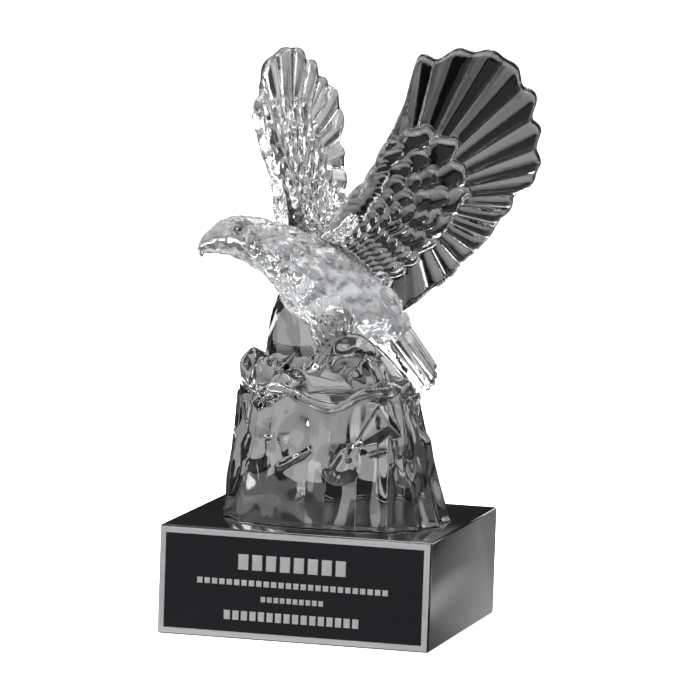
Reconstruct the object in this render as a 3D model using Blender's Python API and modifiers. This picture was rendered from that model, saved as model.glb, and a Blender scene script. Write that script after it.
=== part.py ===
"""Crystal eagle award: an eagle with raised wings on a rock, cast in one piece of clear glass,
seated on a square black base with an engraved plaque on its front.

Metres, +Z up. The origin is the centre of the base's underside, the plaque faces -Y.
The carving is drawn on a grid of its own, whose step is a share of the crystal's height.
"""

import math

import bmesh
import bpy
from mathutils import Matrix, Vector, noise

# Base block
BASE_WIDTH = 0.127
BASE_DEPTH = 0.127
BASE_HEIGHT = 0.050
BASE_EDGE_RADIUS = 0.0010

# Plaque on the base's front
PLAQUE_MARGIN = 0.0008
PLAQUE_THICKNESS = 0.0012
PLAQUE_BORDER = 0.0036
PLAQUE_FIELD_DEPTH = 0.0004
PLAQUE_GAP = 0.0003

# Inscription: rows of plain strokes, as (height above the field's middle, stroke height, row length)
INSCRIPTION_ROWS = (
    (0.0105, 0.0070, 0.0520),
    (0.0010, 0.0026, 0.0900),
    (-0.0060, 0.0024, 0.0300),
    (-0.0140, 0.0042, 0.0640),
)
INSCRIPTION_STROKES = (8, 26, 10, 16)  # strokes in each row
STROKE_GAP_SHARE = 0.28

# Crystal
CRYSTAL_HEIGHT = 0.2215
CRYSTAL_GAP = 0.0003
CARVING_STEPS = 221.5  # grid steps in the crystal's height
STEP = CRYSTAL_HEIGHT / CARVING_STEPS
VOXEL = 1.25 * STEP
TRIANGLE_SHARE = 0.062

# The eagle's places on the grid, from the middle of the crystal's underside
BODY_CENTRE = Vector((2.0, 2.0, 108.0))
BODY_YAW = 37.0
HEAD_CENTRE = Vector((-37.9, -28.1, 130.0))
HEAD_YAW = 20.0

# Body sections: (along the back and up, of the upper edge), (the same, of the lower edge), half width
BODY_SECTIONS = (
    ((-41.0, 26.5), (-48.0, 13.0), 9.0),
    ((-36.0, 27.4), (-43.0, 7.2), 12.5),
    ((-28.0, 25.8), (-36.5, 1.4), 15.0),
    ((-18.5, 22.0), (-31.0, -5.0), 17.0),
    ((-6.0, 19.0), (-23.0, -15.5), 18.5),
    ((5.0, 13.5), (-10.0, -24.0), 19.0),
    ((13.5, 6.5), (4.0, -27.5), 17.0),
    ((22.0, -2.5), (13.5, -25.5), 13.0),
    ((28.5, -11.5), (19.5, -26.0), 9.5),
    ((33.0, -19.0), (25.0, -29.0), 6.5),
)

# Head sections: (along the beak's line, up, half height, half width)
HEAD_SECTIONS = (
    (-21.6, -6.6, 1.6, 1.2),
    (-20.6, -5.4, 3.5, 2.3),
    (-18.0, -3.7, 4.9, 3.2),
    (-14.6, -2.3, 6.6, 4.2),
    (-10.6, -1.1, 8.2, 5.8),
    (-5.0, -0.9, 9.4, 7.6),
    (1.0, -2.1, 10.9, 8.8),
    (8.0, -4.6, 12.4, 9.9),
    (14.0, -7.2, 13.0, 10.2),
    (20.0, -9.0, 11.0, 8.6),
    (25.0, -10.5, 6.0, 5.0),
)
BEAK_HOOK = ((-20.3, -7.0, 1.9), (-20.3, -9.0, 1.3), (-19.7, -10.5, 0.7))
EYE_PLACE = (-3.9, 7.0, 4.3)
EYE_RADIUS = 2.2
BROW_LENGTH = 5.2

# Wings: frame (origin on the grid, yaw at the tip and at the root, outward tilt, side), quill centre,
# reach of the outline by angle with its lobes, reach of the coverts by angle, the angles of the seams
# between the flight feathers, and the arm as (across, up, radius)
NEAR_WING = {
    "origin": Vector((5.4, -15.0, 139.7)),
    "tip_yaw": 4.0,
    "root_yaw": 12.0,
    "tilt": 22.0,
    "side": 1.0,
    "quill": (26.7, 10.2),
    "reach": (
        (97.0, 33.0), (92.0, 38.8), (89.0, 43.6), (86.5, 48.5), (84.6, 56.0), (83.2, 71.0), (81.6, 76.1),
        (79.8, 76.6), (76.0, 75.0), (74.0, 76.3), (71.5, 82.6), (69.3, 85.4), (65.0, 85.8), (63.5, 87.8),
        (61.8, 91.2), (59.0, 91.8), (56.5, 90.8), (54.0, 91.8), (51.5, 91.1), (49.5, 87.6), (47.0, 84.3),
        (45.5, 86.1), (43.6, 87.5), (41.0, 85.1), (39.5, 81.8), (37.6, 77.0), (36.5, 76.3), (34.5, 77.6),
        (32.0, 77.5), (29.5, 73.8), (26.5, 69.8), (23.0, 69.6), (20.0, 69.1), (17.0, 65.4), (14.0, 63.6),
        (11.0, 61.0), (8.5, 55.4), (6.5, 51.6), (0.5, 50.5), (-3.0, 48.9), (-8.0, 44.9), (-16.0, 43.0),
        (-24.0, 42.4), (-31.0, 41.2), (-37.5, 41.2), (-43.0, 40.2), (-52.0, 41.6), (-60.0, 44.2),
        (-66.0, 45.2), (-72.0, 47.0), (-77.0, 48.4), (-82.0, 51.6), (-88.0, 56.4), (-99.6, 59.4),
        (-115.4, 56.4), (-137.0, 50.0), (-152.0, 46.0), (-158.0, 34.5), (-175.9, 25.5), (-204.7, 18.2),
        (-236.6, 20.4), (-257.5, 29.0),
    ),
    "coverts": ((85.0, 30.0), (60.0, 38.0), (38.0, 37.0), (7.0, 32.0), (-16.0, 28.0), (-59.0, 26.0),
                (-87.0, 31.0), (-100.0, 44.0)),
    "seams": (84.3, 75.8, 65.0, 56.5, 47.0, 36.8, 26.2, 17.0, 8.0, 0.5, -11.5, -24.0, -37.0, -50.0,
              -63.0, -76.0, -90.0),
    "arm": ((-14.0, -15.0, 6.0), (-2.0, -5.0, 5.4), (10.0, 9.5, 4.4), (18.8, 22.5, 3.7), (24.8, 35.0, 3.0),
            (30.0, 50.0, 2.4)),
}
FAR_WING = {
    "origin": Vector((-22.2, 10.0, 132.1)),
    "tip_yaw": 70.0,
    "root_yaw": 37.0,
    "tilt": 20.0,
    "side": -1.0,
    "quill": (-1.4, 24.0),
    "reach": (
        (124.4, 19.6), (118.0, 24.3), (112.0, 28.6), (106.0, 33.1), (101.5, 36.6), (95.5, 37.6), (91.0, 40.1),
        (88.0, 44.6), (85.0, 48.6), (82.0, 52.6), (79.0, 55.6), (74.0, 58.5), (70.0, 61.9), (67.0, 65.1),
        (64.0, 67.1), (60.5, 68.6), (58.0, 70.9), (55.0, 72.6), (53.5, 72.1), (51.8, 68.7), (50.3, 69.4),
        (47.6, 73.1), (46.0, 73.1), (44.5, 69.1), (43.0, 66.9), (41.3, 68.8), (38.5, 71.3), (36.9, 69.1),
        (35.5, 69.9), (32.6, 72.6), (31.0, 71.9), (29.5, 68.9), (26.7, 66.4), (25.0, 67.9), (22.0, 64.6),
        (19.0, 59.9), (15.7, 52.9), (12.8, 52.1), (10.0, 53.9), (7.0, 50.9), (0.5, 47.9), (-2.5, 49.3),
        (-8.0, 47.3), (-14.5, 44.1), (-24.2, 42.5), (-45.5, 38.0), (-70.8, 36.5), (-93.4, 34.0),
        (-110.0, 28.0), (-121.4, 23.0), (-140.0, 13.4), (-163.3, 10.6), (-190.0, 9.8), (-217.8, 12.6),
    ),
    "coverts": ((95.0, 27.0), (70.0, 32.0), (45.0, 36.0), (20.0, 35.0), (-5.0, 28.0), (-40.0, 23.0),
                (-70.0, 24.0), (-100.0, 30.0)),
    "seams": (87.0, 73.0, 60.0, 51.8, 43.0, 36.9, 26.7, 15.7, 0.5, -14.5, -30.0, -45.0, -60.0, -75.0, -90.0),
    "arm": ((-5.8, -8.0, 4.4), (-5.2, 4.0, 4.0), (-5.0, 20.0, 3.6), (-6.0, 34.0, 3.4), (-6.6, 46.0, 3.2),
            (-5.6, 54.5, 3.0)),
}
WING_HALF_THICKNESS = 2.3
COVERT_RISE = 1.1
FLUTE_DEPTH = 0.8
RIM_EXTRA = 0.9  # what polishing takes off the rim
WING_BOW = 5.0
BOW_REACH = 90.0
ROOT_COLUMNS = 40
TWIST_FROM = -14.0
TWIST_TO = 16.0

# Tail: quill point and direction in the body's middle plane, roll about it, and the fan
TAIL_ROOT = (18.5, -16.0)
TAIL_SLOPE = -50.0
TAIL_ROLL = 55.0
TAIL_LENGTH = 43.5
TAIL_ROOT_HALF_WIDTH = 12.0
TAIL_SPREAD = 15.0
TAIL_FEATHERS = 5
TAIL_HALF_THICKNESS = 3.6

# Legs: thigh from the belly, shank to the rock, toes around the foot, in the body's frame
LEG_SPREAD = 9.0
THIGH = ((-8.0, -13.0, 11.0), (-10.0, -22.0, 9.0), (-11.0, -29.0, 5.5))
FOOT_HEIGHT = -35.0
TOE_LENGTH = 10.0
TOE_RADIUS = 2.3
TOE_ANGLES = (-150.0, -180.0, 150.0, 0.0)

# Rock, lower tier: its ridges around the foot, as (foot X, foot Y), (top X, top Y, top Z), hollow beside it
CLIFF = (
    ((-34.0, -38.5), (-29.0, -31.5, 50.0), 1.6),
    ((-16.5, -44.5), (-14.0, -34.0, 58.0), 1.8),
    ((-1.0, -46.5), (-2.0, -39.5, 55.0), 0.9),
    ((7.5, -47.0), (9.0, -41.0, 53.0), 2.4),
    ((23.0, -46.5), (21.0, -35.0, 59.0), 3.0),
    ((38.0, -44.0), (33.5, -33.0, 56.0), 2.6),
    ((49.0, -33.5), (36.5, -24.0, 61.0), 3.2),
    ((54.5, -14.0), (40.5, -12.0, 57.0), 3.0),
    ((54.5, 5.0), (39.5, 3.0, 59.0), 2.8),
    ((48.5, 24.0), (35.5, 16.0, 56.0), 2.2),
    ((36.0, 38.0), (26.0, 26.0, 53.0), 2.0),
    ((16.0, 45.0), (12.0, 32.0, 58.0), 2.0),
    ((-6.0, 44.0), (-5.0, 33.0, 55.0), 2.0),
    ((-26.0, 45.0), (-22.0, 30.0, 60.0), 2.2),
    ((-42.0, 34.0), (-36.0, 24.0, 55.0), 3.0),
    ((-49.5, 14.0), (-43.5, 10.0, 60.0), 2.8),
    ((-50.0, -8.0), (-45.5, -6.0, 56.0), 2.6),
    ((-44.5, -26.0), (-39.5, -21.0, 54.0), 2.0),
)
# Broad chips out of the lower tier: (X, Y, Z), radius, depth
CHIPS = (
    ((42.0, 0.0, 47.0), 11.0, 3.0),
    ((-30.0, -36.0, 33.0), 12.0, 1.6),
    ((-8.0, -42.0, 40.0), 13.0, 1.8),
    ((14.0, -44.0, 30.0), 11.0, 2.2),
    ((45.0, -30.0, 30.0), 12.0, 2.4),
    ((-47.0, 6.0, 28.0), 14.0, 2.4),
    ((10.0, 38.0, 34.0), 16.0, 3.0),
    ((-30.0, 36.0, 22.0), 15.0, 2.6),
)
CLIFF_CROWN = 57.0
LIP_HEIGHT = 1.4
LIP_REACH = 1.4
# Rock, upper tier: (height, least X, greatest X, least Y, greatest Y)
COLUMN = (
    (44.0, -38.0, 38.0, -24.0, 32.0),
    (56.0, -36.5, 36.5, -22.0, 29.0),
    (62.0, -35.5, 33.5, -20.0, 26.0),
    (70.0, -34.5, 27.0, -18.0, 22.0),
    (78.0, -33.5, 19.0, -16.0, 18.0),
    (86.0, -32.5, 10.0, -14.0, 15.0),
    (94.0, -31.0, 2.0, -12.0, 12.0),
    (102.0, -28.0, -8.0, -8.0, 8.0),
)
COLUMN_FLUTES = 7
COLUMN_FLUTE_DEPTH = 0.8
# Boulders: (X, Y, Z), half sizes
BOULDERS = (
    ((-36.5, -6.0, 64.0), (7.5, 9.0, 11.5)),
    ((-29.5, -18.0, 64.0), (7.0, 8.0, 11.0)),
    ((-38.0, 8.0, 58.0), (8.0, 11.0, 13.0)),
    ((-16.0, -24.0, 61.0), (8.5, 9.0, 8.0)),
    ((10.5, -13.0, 74.5), (11.0, 9.0, 11.5)),
    ((20.0, -17.0, 66.0), (8.5, 8.0, 10.0)),
    ((31.0, -10.0, 60.0), (8.0, 11.0, 7.0)),
    ((-24.0, 20.0, 66.0), (11.0, 9.0, 13.0)),
    ((0.0, 23.0, 62.0), (12.0, 9.0, 12.0)),
    ((22.0, 18.0, 58.0), (11.0, 9.0, 9.0)),
)
# The ledge's rounded brim, as (X, Y, Z, radius)
BRIM = (
    (-31.0, -28.0, 60.0, 2.0), (-24.0, -32.0, 61.0, 2.3), (-14.0, -35.0, 60.5, 2.2), (-4.0, -38.5, 57.5, 2.0),
    (8.5, -41.0, 54.8, 2.2), (15.0, -38.5, 58.0, 1.9), (21.5, -35.5, 61.5, 2.2), (33.0, -27.5, 62.5, 2.4),
)
# Sharp pieces of rock, each the hull of its corners: the ledge behind the brim, the wedge beside it, a spur
SHARDS = (
    ((-15.0, -34.5, 60.0), (8.5, -41.0, 54.0), (21.5, -35.5, 61.0), (33.0, -27.0, 62.0), (9.0, -40.0, 50.0),
     (-2.0, -20.0, 60.0), (24.0, -18.0, 61.5)),
    ((19.0, -45.4, 37.0), (29.5, -38.0, 57.5), (36.0, -39.5, 48.5), (30.0, -28.0, 40.0), (40.0, -30.0, 42.0),
     (33.0, -24.0, 56.0)),
    ((-25.0, -24.0, 64.0), (-27.0, -15.0, 70.0), (-20.0, -16.0, 64.0), (-13.0, -21.5, 77.5), (-22.0, -22.0, 72.0)),
    ((-43.0, -10.0, 44.0), (-41.0, -20.0, 61.0), (-34.0, -26.0, 58.0), (-35.0, -27.0, 44.0), (-30.0, -10.0, 52.0)),
)


def clear_scene():
    for thing in list(bpy.data.objects):
        bpy.data.objects.remove(thing)


def material(name, colour, roughness, metallic=0.0, transmission=0.0):
    made = bpy.data.materials.new(name)
    made.use_nodes = True
    shader = made.node_tree.nodes["Principled BSDF"]
    shader.inputs["Base Color"].default_value = (*colour, 1.0)
    shader.inputs["Roughness"].default_value = roughness
    shader.inputs["Metallic"].default_value = metallic
    shader.inputs["Transmission Weight"].default_value = transmission
    return made


def add_object(name, mesh, collection):
    made = bpy.data.objects.new(name, mesh)
    collection.objects.link(made)
    return made


def smooth_step(x):
    x = min(max(x, 0.0), 1.0)
    return x * x * (3.0 - 2.0 * x)


def between(a, b, share):
    return a + (b - a) * share


def reach_at(points, angle):
    """The reach of a closed outline at an angle, read between its points."""
    ordered = sorted((a % 360.0, r) for a, r in points)
    angle %= 360.0
    ordered = [(ordered[-1][0] - 360.0, ordered[-1][1]), *ordered, (ordered[0][0] + 360.0, ordered[0][1])]
    for (a, ra), (b, rb) in zip(ordered, ordered[1:]):
        if a <= angle <= b:
            return between(ra, rb, (angle - a) / max(b - a, 1e-6))
    return ordered[-1][1]


def stations(sections, count):
    """Sections of a loft, read as a smooth curve through the given ones."""
    found = []
    last = len(sections) - 1
    for i in range(count + 1):
        at = i / count * last
        k = min(int(at), last - 1)
        t = at - k
        p0, p1, p2, p3 = (sections[min(max(k + d, 0), last)] for d in (-1, 0, 1, 2))
        found.append([
            0.5 * (2 * b + (c - a) * t + (2 * a - 5 * b + 4 * c - d) * t * t + (3 * b - a - 3 * c + d) * t ** 3)
            for a, b, c, d in zip(p0, p1, p2, p3)
        ])
    return found


def loft(shape, rings):
    """A closed skin over rings of points, added to a bmesh."""
    loops = [[shape.verts.new(point * STEP) for point in ring] for ring in rings]
    count = len(loops[0])
    for low, high in zip(loops, loops[1:]):
        for i in range(count):
            j = (i + 1) % count
            shape.faces.new((low[i], low[j], high[j], high[i]))
    shape.faces.new(list(reversed(loops[0])))
    shape.faces.new(loops[-1])


def ball(shape, place, radii, segments=16):
    made = bmesh.ops.create_uvsphere(shape, u_segments=segments, v_segments=segments // 2, radius=1.0)
    bmesh.ops.transform(
        shape,
        matrix=Matrix.Translation(place * STEP) @ Matrix.Diagonal((*(Vector(radii) * STEP), 1.0)),
        verts=made["verts"],
    )


def rod(shape, points, sides=12):
    """A round rod of changing radius through (place, radius) points, with ball ends."""
    rings = []
    for i, (place, radius) in enumerate(points):
        before = points[max(i - 1, 0)][0]
        after = points[min(i + 1, len(points) - 1)][0]
        run = (after - before).normalized()
        across = run.orthogonal().normalized() if not rings else across - across.dot(run) * run
        across.normalize()
        other = run.cross(across)
        rings.append([
            place + radius * (math.cos(a) * across + math.sin(a) * other)
            for a in (math.tau * k / sides for k in range(sides))
        ])
    loft(shape, rings)
    for place, radius in (points[0], points[-1]):
        ball(shape, place, (radius, radius, radius), sides)


def body_axes(yaw):
    """The back direction and the near side's direction of a figure turned by yaw."""
    turn = math.radians(yaw)
    return Vector((math.cos(turn), math.sin(turn), 0.0)), Vector((math.sin(turn), -math.cos(turn), 0.0))


def in_body(back, side, up):
    along, near = body_axes(BODY_YAW)
    return BODY_CENTRE + along * back + near * side + Vector((0.0, 0.0, up))


def in_head(back, side, up):
    along, near = body_axes(HEAD_YAW)
    return HEAD_CENTRE + along * back + near * side + Vector((0.0, 0.0, up))


def add_body(shape):
    flat = [(*upper, *lower, width) for upper, lower, width in BODY_SECTIONS]
    rings = []
    for top_back, top_up, low_back, low_up, half_width in stations(flat, 22):
        ring = []
        for k in range(24):
            angle = math.tau * k / 24
            share = 0.5 + 0.5 * math.sin(angle)
            ring.append(in_body(
                between(low_back, top_back, share), math.cos(angle) * half_width, between(low_up, top_up, share)
            ))
        rings.append(ring)
    loft(shape, rings)


def add_head(shape):
    rings = []
    for back, up, half_height, half_width in stations(HEAD_SECTIONS, 22):
        rings.append([
            in_head(back, math.cos(a) * half_width, up + math.sin(a) * half_height)
            for a in (math.tau * k / 20 for k in range(20))
        ])
    loft(shape, rings)
    rod(shape, [(in_head(back, 0.0, up), radius) for back, up, radius in BEAK_HOOK], 10)
    for side in (-1.0, 1.0):
        back, out, up = EYE_PLACE
        ball(shape, in_head(back, side * out, up), (EYE_RADIUS,) * 3)
        brow = [
            (in_head(back - BROW_LENGTH, side * (out - 2.6), up + 0.6), 1.2),
            (in_head(back, side * (out - 0.2), up + 2.6), 1.5),
            (in_head(back + BROW_LENGTH, side * (out + 0.2), up + 1.6), 1.0),
        ]
        rod(shape, brow, 8)


def wing_point(wing, across, up, out):
    """A point of a wing from its own flat drawing: across and up in its plane, out from it."""
    twist = smooth_step((up - TWIST_FROM) / (TWIST_TO - TWIST_FROM))
    along, outward = body_axes(between(wing["root_yaw"], wing["tip_yaw"], twist))
    outward *= wing["side"]
    tilt = math.radians(wing["tilt"])
    rise = Vector((0.0, 0.0, math.cos(tilt))) + outward * math.sin(tilt)
    face = outward * math.cos(tilt) - Vector((0.0, 0.0, math.sin(tilt)))
    quill = wing["quill"]
    far = math.hypot(across - quill[0], up - quill[1]) / BOW_REACH
    return wing["origin"] + along * across + rise * up + face * (out + WING_BOW * far * far)


def feather_columns(wing):
    """Angles of the plate's columns, each with its place across its feather, -1 to 1, or None in front."""
    seams = wing["seams"]
    columns = []
    for high, low in zip(seams, seams[1:]):
        columns += [(between(high, low, (place + 1.0) / 2.0), place) for place in (-1.0, -0.8, -0.4, 0.0, 0.4, 0.8)]
    rest = math.degrees(math.tau) - (seams[0] - seams[-1])
    columns += [(seams[-1] - rest * k / ROOT_COLUMNS, None) for k in range(ROOT_COLUMNS)]
    return columns


def add_wing(shape, wing):
    """A wing as a round plate about its quill point: fluted flight feathers, and coverts in steps."""
    columns = feather_columns(wing)
    rows = (0.12, 0.26, 0.40, 0.43, 0.56, 0.66, 0.70, 0.85, 0.95, 1.0)

    def surface(angle, place, share, face):
        reach = reach_at(wing["reach"], angle) + RIM_EXTRA
        across = 0.6 if place is None else abs(place)
        radius = reach * share
        coverts = reach * 1.2 if place is None else reach_at(wing["coverts"], angle)
        half = between(WING_HALF_THICKNESS + 0.8, WING_HALF_THICKNESS, share)
        half += FLUTE_DEPTH * (0.5 - across) * smooth_step(share * 2.0)
        for layer in (1.0, 0.66):
            half += COVERT_RISE * smooth_step((coverts * layer - radius) / 1.5)
        half *= math.sqrt(max(1.0 - max(share - 0.9, 0.0) ** 2 / 0.01, 0.0)) * 0.75 + 0.25
        turn = math.radians(angle)
        return wing_point(
            wing, wing["quill"][0] + radius * math.cos(turn), wing["quill"][1] + radius * math.sin(turn), face * half
        )

    sheets = []
    for face in (1.0, -1.0):
        hub = shape.verts.new(surface(*columns[0], 0.0, face) * STEP)
        grid = [[shape.verts.new(surface(*column, share, face) * STEP) for share in rows] for column in columns]
        for i in range(len(grid)):
            near, other = grid[i], grid[(i + 1) % len(grid)]
            shape.faces.new((hub, near[0], other[0]))
            for j in range(len(rows) - 1):
                shape.faces.new((near[j], near[j + 1], other[j + 1], other[j]))
        sheets.append(grid)
    for i in range(len(columns)):
        k = (i + 1) % len(columns)
        shape.faces.new((sheets[0][i][-1], sheets[1][i][-1], sheets[1][k][-1], sheets[0][k][-1]))
    rod(shape, [(wing_point(wing, x, y, 0.0), radius) for x, y, radius in wing["arm"]])


def add_tail(shape):
    along, near = body_axes(BODY_YAW)
    slope = math.radians(TAIL_SLOPE)
    run = along * math.cos(slope) + Vector((0.0, 0.0, math.sin(slope)))
    roll = math.radians(TAIL_ROLL)
    across = near * math.cos(roll) + run.cross(near) * math.sin(roll)
    face = run.cross(across)
    root = in_body(TAIL_ROOT[0], 0.0, TAIL_ROOT[1])
    columns = TAIL_FEATHERS * 4
    rows = 7
    sheets = []
    for side in (1.0, -1.0):
        grid = []
        for i in range(columns + 1):
            f = (i / 4.0) % 1.0
            spread = math.radians(TAIL_SPREAD * (2.0 * i / columns - 1.0))
            reach = TAIL_LENGTH * (1.0 - 0.07 * abs(2.0 * f - 1.0) ** 2 - 0.10 * (2.0 * i / columns - 1.0) ** 2)
            line = []
            for j in range(rows + 1):
                share = j / rows
                half = TAIL_HALF_THICKNESS * between(1.5, 0.7, share)
                half *= 1.0 - 0.55 * abs(2.0 * i / columns - 1.0) ** 2
                half += 0.6 * (0.4 - abs(2.0 * f - 1.0)) * share
                radius = reach * share
                sideways = radius * math.sin(spread) + between(TAIL_ROOT_HALF_WIDTH, 1.0, share) * (2.0 * i / columns - 1.0)
                place = root + run * (radius * math.cos(spread)) + across * sideways + face * (side * half)
                line.append(shape.verts.new(place * STEP))
            grid.append(line)
        sheets.append(grid)
        for i in range(columns):
            for j in range(rows):
                shape.faces.new((grid[i][j], grid[i][j + 1], grid[i + 1][j + 1], grid[i + 1][j]))
    front, back = sheets
    edge = [(i, 0) for i in range(columns)] + [(columns, j) for j in range(rows)]
    edge += [(i, rows) for i in range(columns, 0, -1)] + [(0, j) for j in range(rows, 0, -1)]
    for (a, b), (c, d) in zip(edge, edge[1:] + edge[:1]):
        shape.faces.new((front[a][b], front[c][d], back[c][d], back[a][b]))


def add_legs(shape):
    for side in (-1.0, 1.0):
        out = side * LEG_SPREAD
        rod(shape, [(in_body(back, out, up), radius) for back, up, radius in THIGH], 14)
        ankle = in_body(THIGH[-1][0], out, THIGH[-1][1])
        foot = in_body(THIGH[-1][0], out, FOOT_HEIGHT)
        rod(shape, [(ankle, THIGH[-1][2] * 0.8), (foot, THIGH[-1][2] * 0.9)], 10)
        along, near = body_axes(BODY_YAW)
        for angle in TOE_ANGLES:
            turn = math.radians(angle)
            ahead = along * math.cos(turn) + near * math.sin(turn)
            knuckle = foot + ahead * (TOE_LENGTH * 0.55) + Vector((0.0, 0.0, 1.4))
            tip = foot + ahead * TOE_LENGTH + Vector((0.0, 0.0, -3.2))
            rod(shape, [(foot, TOE_RADIUS), (knuckle, TOE_RADIUS), (tip, TOE_RADIUS * 0.45)], 8)


def add_cliff(shape):
    """The rock's lower tier: upright ridges with a hollow between each and the next, on a thin lip."""
    levels = 18
    rings = []
    for level in range(-2, levels + 1):
        share = max(level, 0) / levels
        ring = []
        for k, (foot, top, sag) in enumerate(CLIFF):
            next_foot, next_top, _ = CLIFF[(k + 1) % len(CLIFF)]
            ends = []
            for low, high in ((foot, top), (next_foot, next_top)):
                wander = 1.1 * noise.noise(Vector((low[0] * 0.3, low[1] * 0.3, share * 3.2)))
                out = Vector((low[0], low[1], 0.0)).normalized() * wander
                ends.append(Vector((low[0], low[1], 0.0)).lerp(Vector(high), share) + out)
            run = ends[1] - ends[0]
            inward = Vector((-run.y, run.x, 0.0)).normalized()
            depth = sag * (0.75 + 0.5 * noise.noise(Vector((k * 1.7, 3.0, share * 4.0))))
            for t in (0.0, 0.15, 0.35, 0.5, 0.65, 0.85):
                point = ends[0] + run * t + inward * (depth * math.sin(math.pi * t))
                if level < 1:
                    outward = Vector((point.x, point.y, 0.0)).normalized()
                    point += outward * LIP_REACH
                    point.z = LIP_HEIGHT if level == 0 else -2.0 + (level + 2) * 0.1
                elif level == 1:
                    point.z = LIP_HEIGHT + 1.2
                else:
                    for place, radius, chip_depth in CHIPS:
                        nearness = max(1.0 - (point - Vector(place)).length / radius, 0.0)
                        point += inward * (chip_depth * smooth_step(nearness * 1.6))
                ring.append(point)
        rings.append(ring)
    middle = Vector((0.0, 0.0, CLIFF_CROWN))
    rings.append([point.lerp(middle, 0.45) + Vector((0.0, 0.0, 1.5)) for point in rings[-1]])
    loft(shape, rings)


def add_column(shape):
    rings = []
    for height, left, right, front, back in stations(COLUMN, 14):
        ring = []
        for k in range(66):
            angle = math.tau * k / 66
            drift = 0.5 * noise.noise(Vector((math.cos(angle), math.sin(angle), height / 30.0)))
            hollow = COLUMN_FLUTE_DEPTH * abs(math.sin(COLUMN_FLUTES / 2.0 * (angle + drift)))
            square = (abs(math.cos(angle)) ** 2.5 + abs(math.sin(angle)) ** 2.5) ** (-1.0 / 2.5)
            ring.append(Vector((
                (left + right) / 2.0 + ((right - left) / 2.0 * square - hollow) * math.cos(angle),
                (front + back) / 2.0 + ((back - front) / 2.0 * square - hollow) * math.sin(angle),
                height,
            )))
        rings.append(ring)
    loft(shape, rings)


def add_boulder(shape, place, radii, seed):
    """A rounded rock with a few broad dents."""
    made = bmesh.ops.create_icosphere(shape, subdivisions=3, radius=1.0)
    for vert in made["verts"]:
        way = vert.co.normalized()
        dent = 1.0 + 0.30 * noise.noise(way * 1.3 + Vector((seed * 3.1, 0.0, 0.0)))
        vert.co = (Vector(place) + Vector([r * w for r, w in zip(radii, way)]) * dent) * STEP


def add_shard(shape, corners):
    made = [shape.verts.new(Vector(corner) * STEP) for corner in corners]
    result = bmesh.ops.convex_hull(shape, input=made)
    spare = {v for v in result["geom_interior"] + result["geom_unused"] if isinstance(v, bmesh.types.BMVert)}
    bmesh.ops.delete(shape, geom=[v for v in made if v in spare], context="VERTS")


def add_brim(shape):
    rod(shape, [(Vector((x, y, z)), radius) for x, y, z, radius in BRIM])


def crystal_mesh():
    """The eagle, its rock and all that is carved on them, as overlapping closed forms in one mesh."""
    shape = bmesh.new()
    add_cliff(shape)
    add_column(shape)
    for seed, (place, radii) in enumerate(BOULDERS):
        add_boulder(shape, place, radii, seed)
    for corners in SHARDS:
        add_shard(shape, corners)
    add_brim(shape)
    add_body(shape)
    add_head(shape)
    add_wing(shape, NEAR_WING)
    add_wing(shape, FAR_WING)
    add_tail(shape)
    add_legs(shape)
    bmesh.ops.recalc_face_normals(shape, faces=shape.faces)
    mesh = bpy.data.meshes.new("crystal_eagle")
    shape.to_mesh(mesh)
    shape.free()
    return mesh


def make_crystal(collection, cutters):
    crystal = add_object("crystal_eagle", crystal_mesh(), collection)
    crystal.location.z = BASE_HEIGHT + CRYSTAL_GAP
    crystal.data.materials.append(material("clear_crystal", (0.95, 0.97, 0.98), 0.02, transmission=1.0))

    fuse = crystal.modifiers.new("fuse", "REMESH")
    fuse.mode = "VOXEL"
    fuse.voxel_size = VOXEL
    fuse.use_smooth_shade = True
    polish = crystal.modifiers.new("polish", "SMOOTH")
    polish.factor = 0.5
    polish.iterations = 3
    thin_out = crystal.modifiers.new("thin_out", "DECIMATE")
    thin_out.ratio = TRIANGLE_SHARE

    # The underside is ground flat where it is glued to the base
    bpy.ops.mesh.primitive_cube_add(size=1.0)
    grinder = bpy.context.object
    grinder.name = "underside_cutter"
    grinder.scale = (BASE_WIDTH * 2.0, BASE_DEPTH * 2.0, BASE_HEIGHT)
    grinder.location = (0.0, 0.0, BASE_HEIGHT * 0.5 + CRYSTAL_GAP)
    grinder.hide_render = True
    grinder.display_type = "WIRE"
    for holder in list(grinder.users_collection):
        holder.objects.unlink(grinder)
    cutters.objects.link(grinder)
    flatten = crystal.modifiers.new("flatten", "BOOLEAN")
    flatten.operation = "DIFFERENCE"
    flatten.object = grinder
    return crystal


def block(shape, low, high):
    """A box between two corners, added to a bmesh."""
    made = bmesh.ops.create_cube(shape, size=1.0)
    size = Vector(high) - Vector(low)
    middle = (Vector(high) + Vector(low)) / 2.0
    bmesh.ops.transform(shape, matrix=Matrix.Translation(middle) @ Matrix.Diagonal((*size, 1.0)), verts=made["verts"])
    return made["verts"]


def make_base(collection):
    shape = bmesh.new()
    block(shape, (-BASE_WIDTH / 2, -BASE_DEPTH / 2, 0.0), (BASE_WIDTH / 2, BASE_DEPTH / 2, BASE_HEIGHT))
    mesh = bpy.data.meshes.new("base_block")
    shape.to_mesh(mesh)
    shape.free()
    base = add_object("base_block", mesh, collection)
    base.data.materials.append(material("black_lacquer", (0.012, 0.012, 0.013), 0.12))
    edge = base.modifiers.new("edge", "BEVEL")
    edge.width = BASE_EDGE_RADIUS
    edge.segments = 3
    return base


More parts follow.
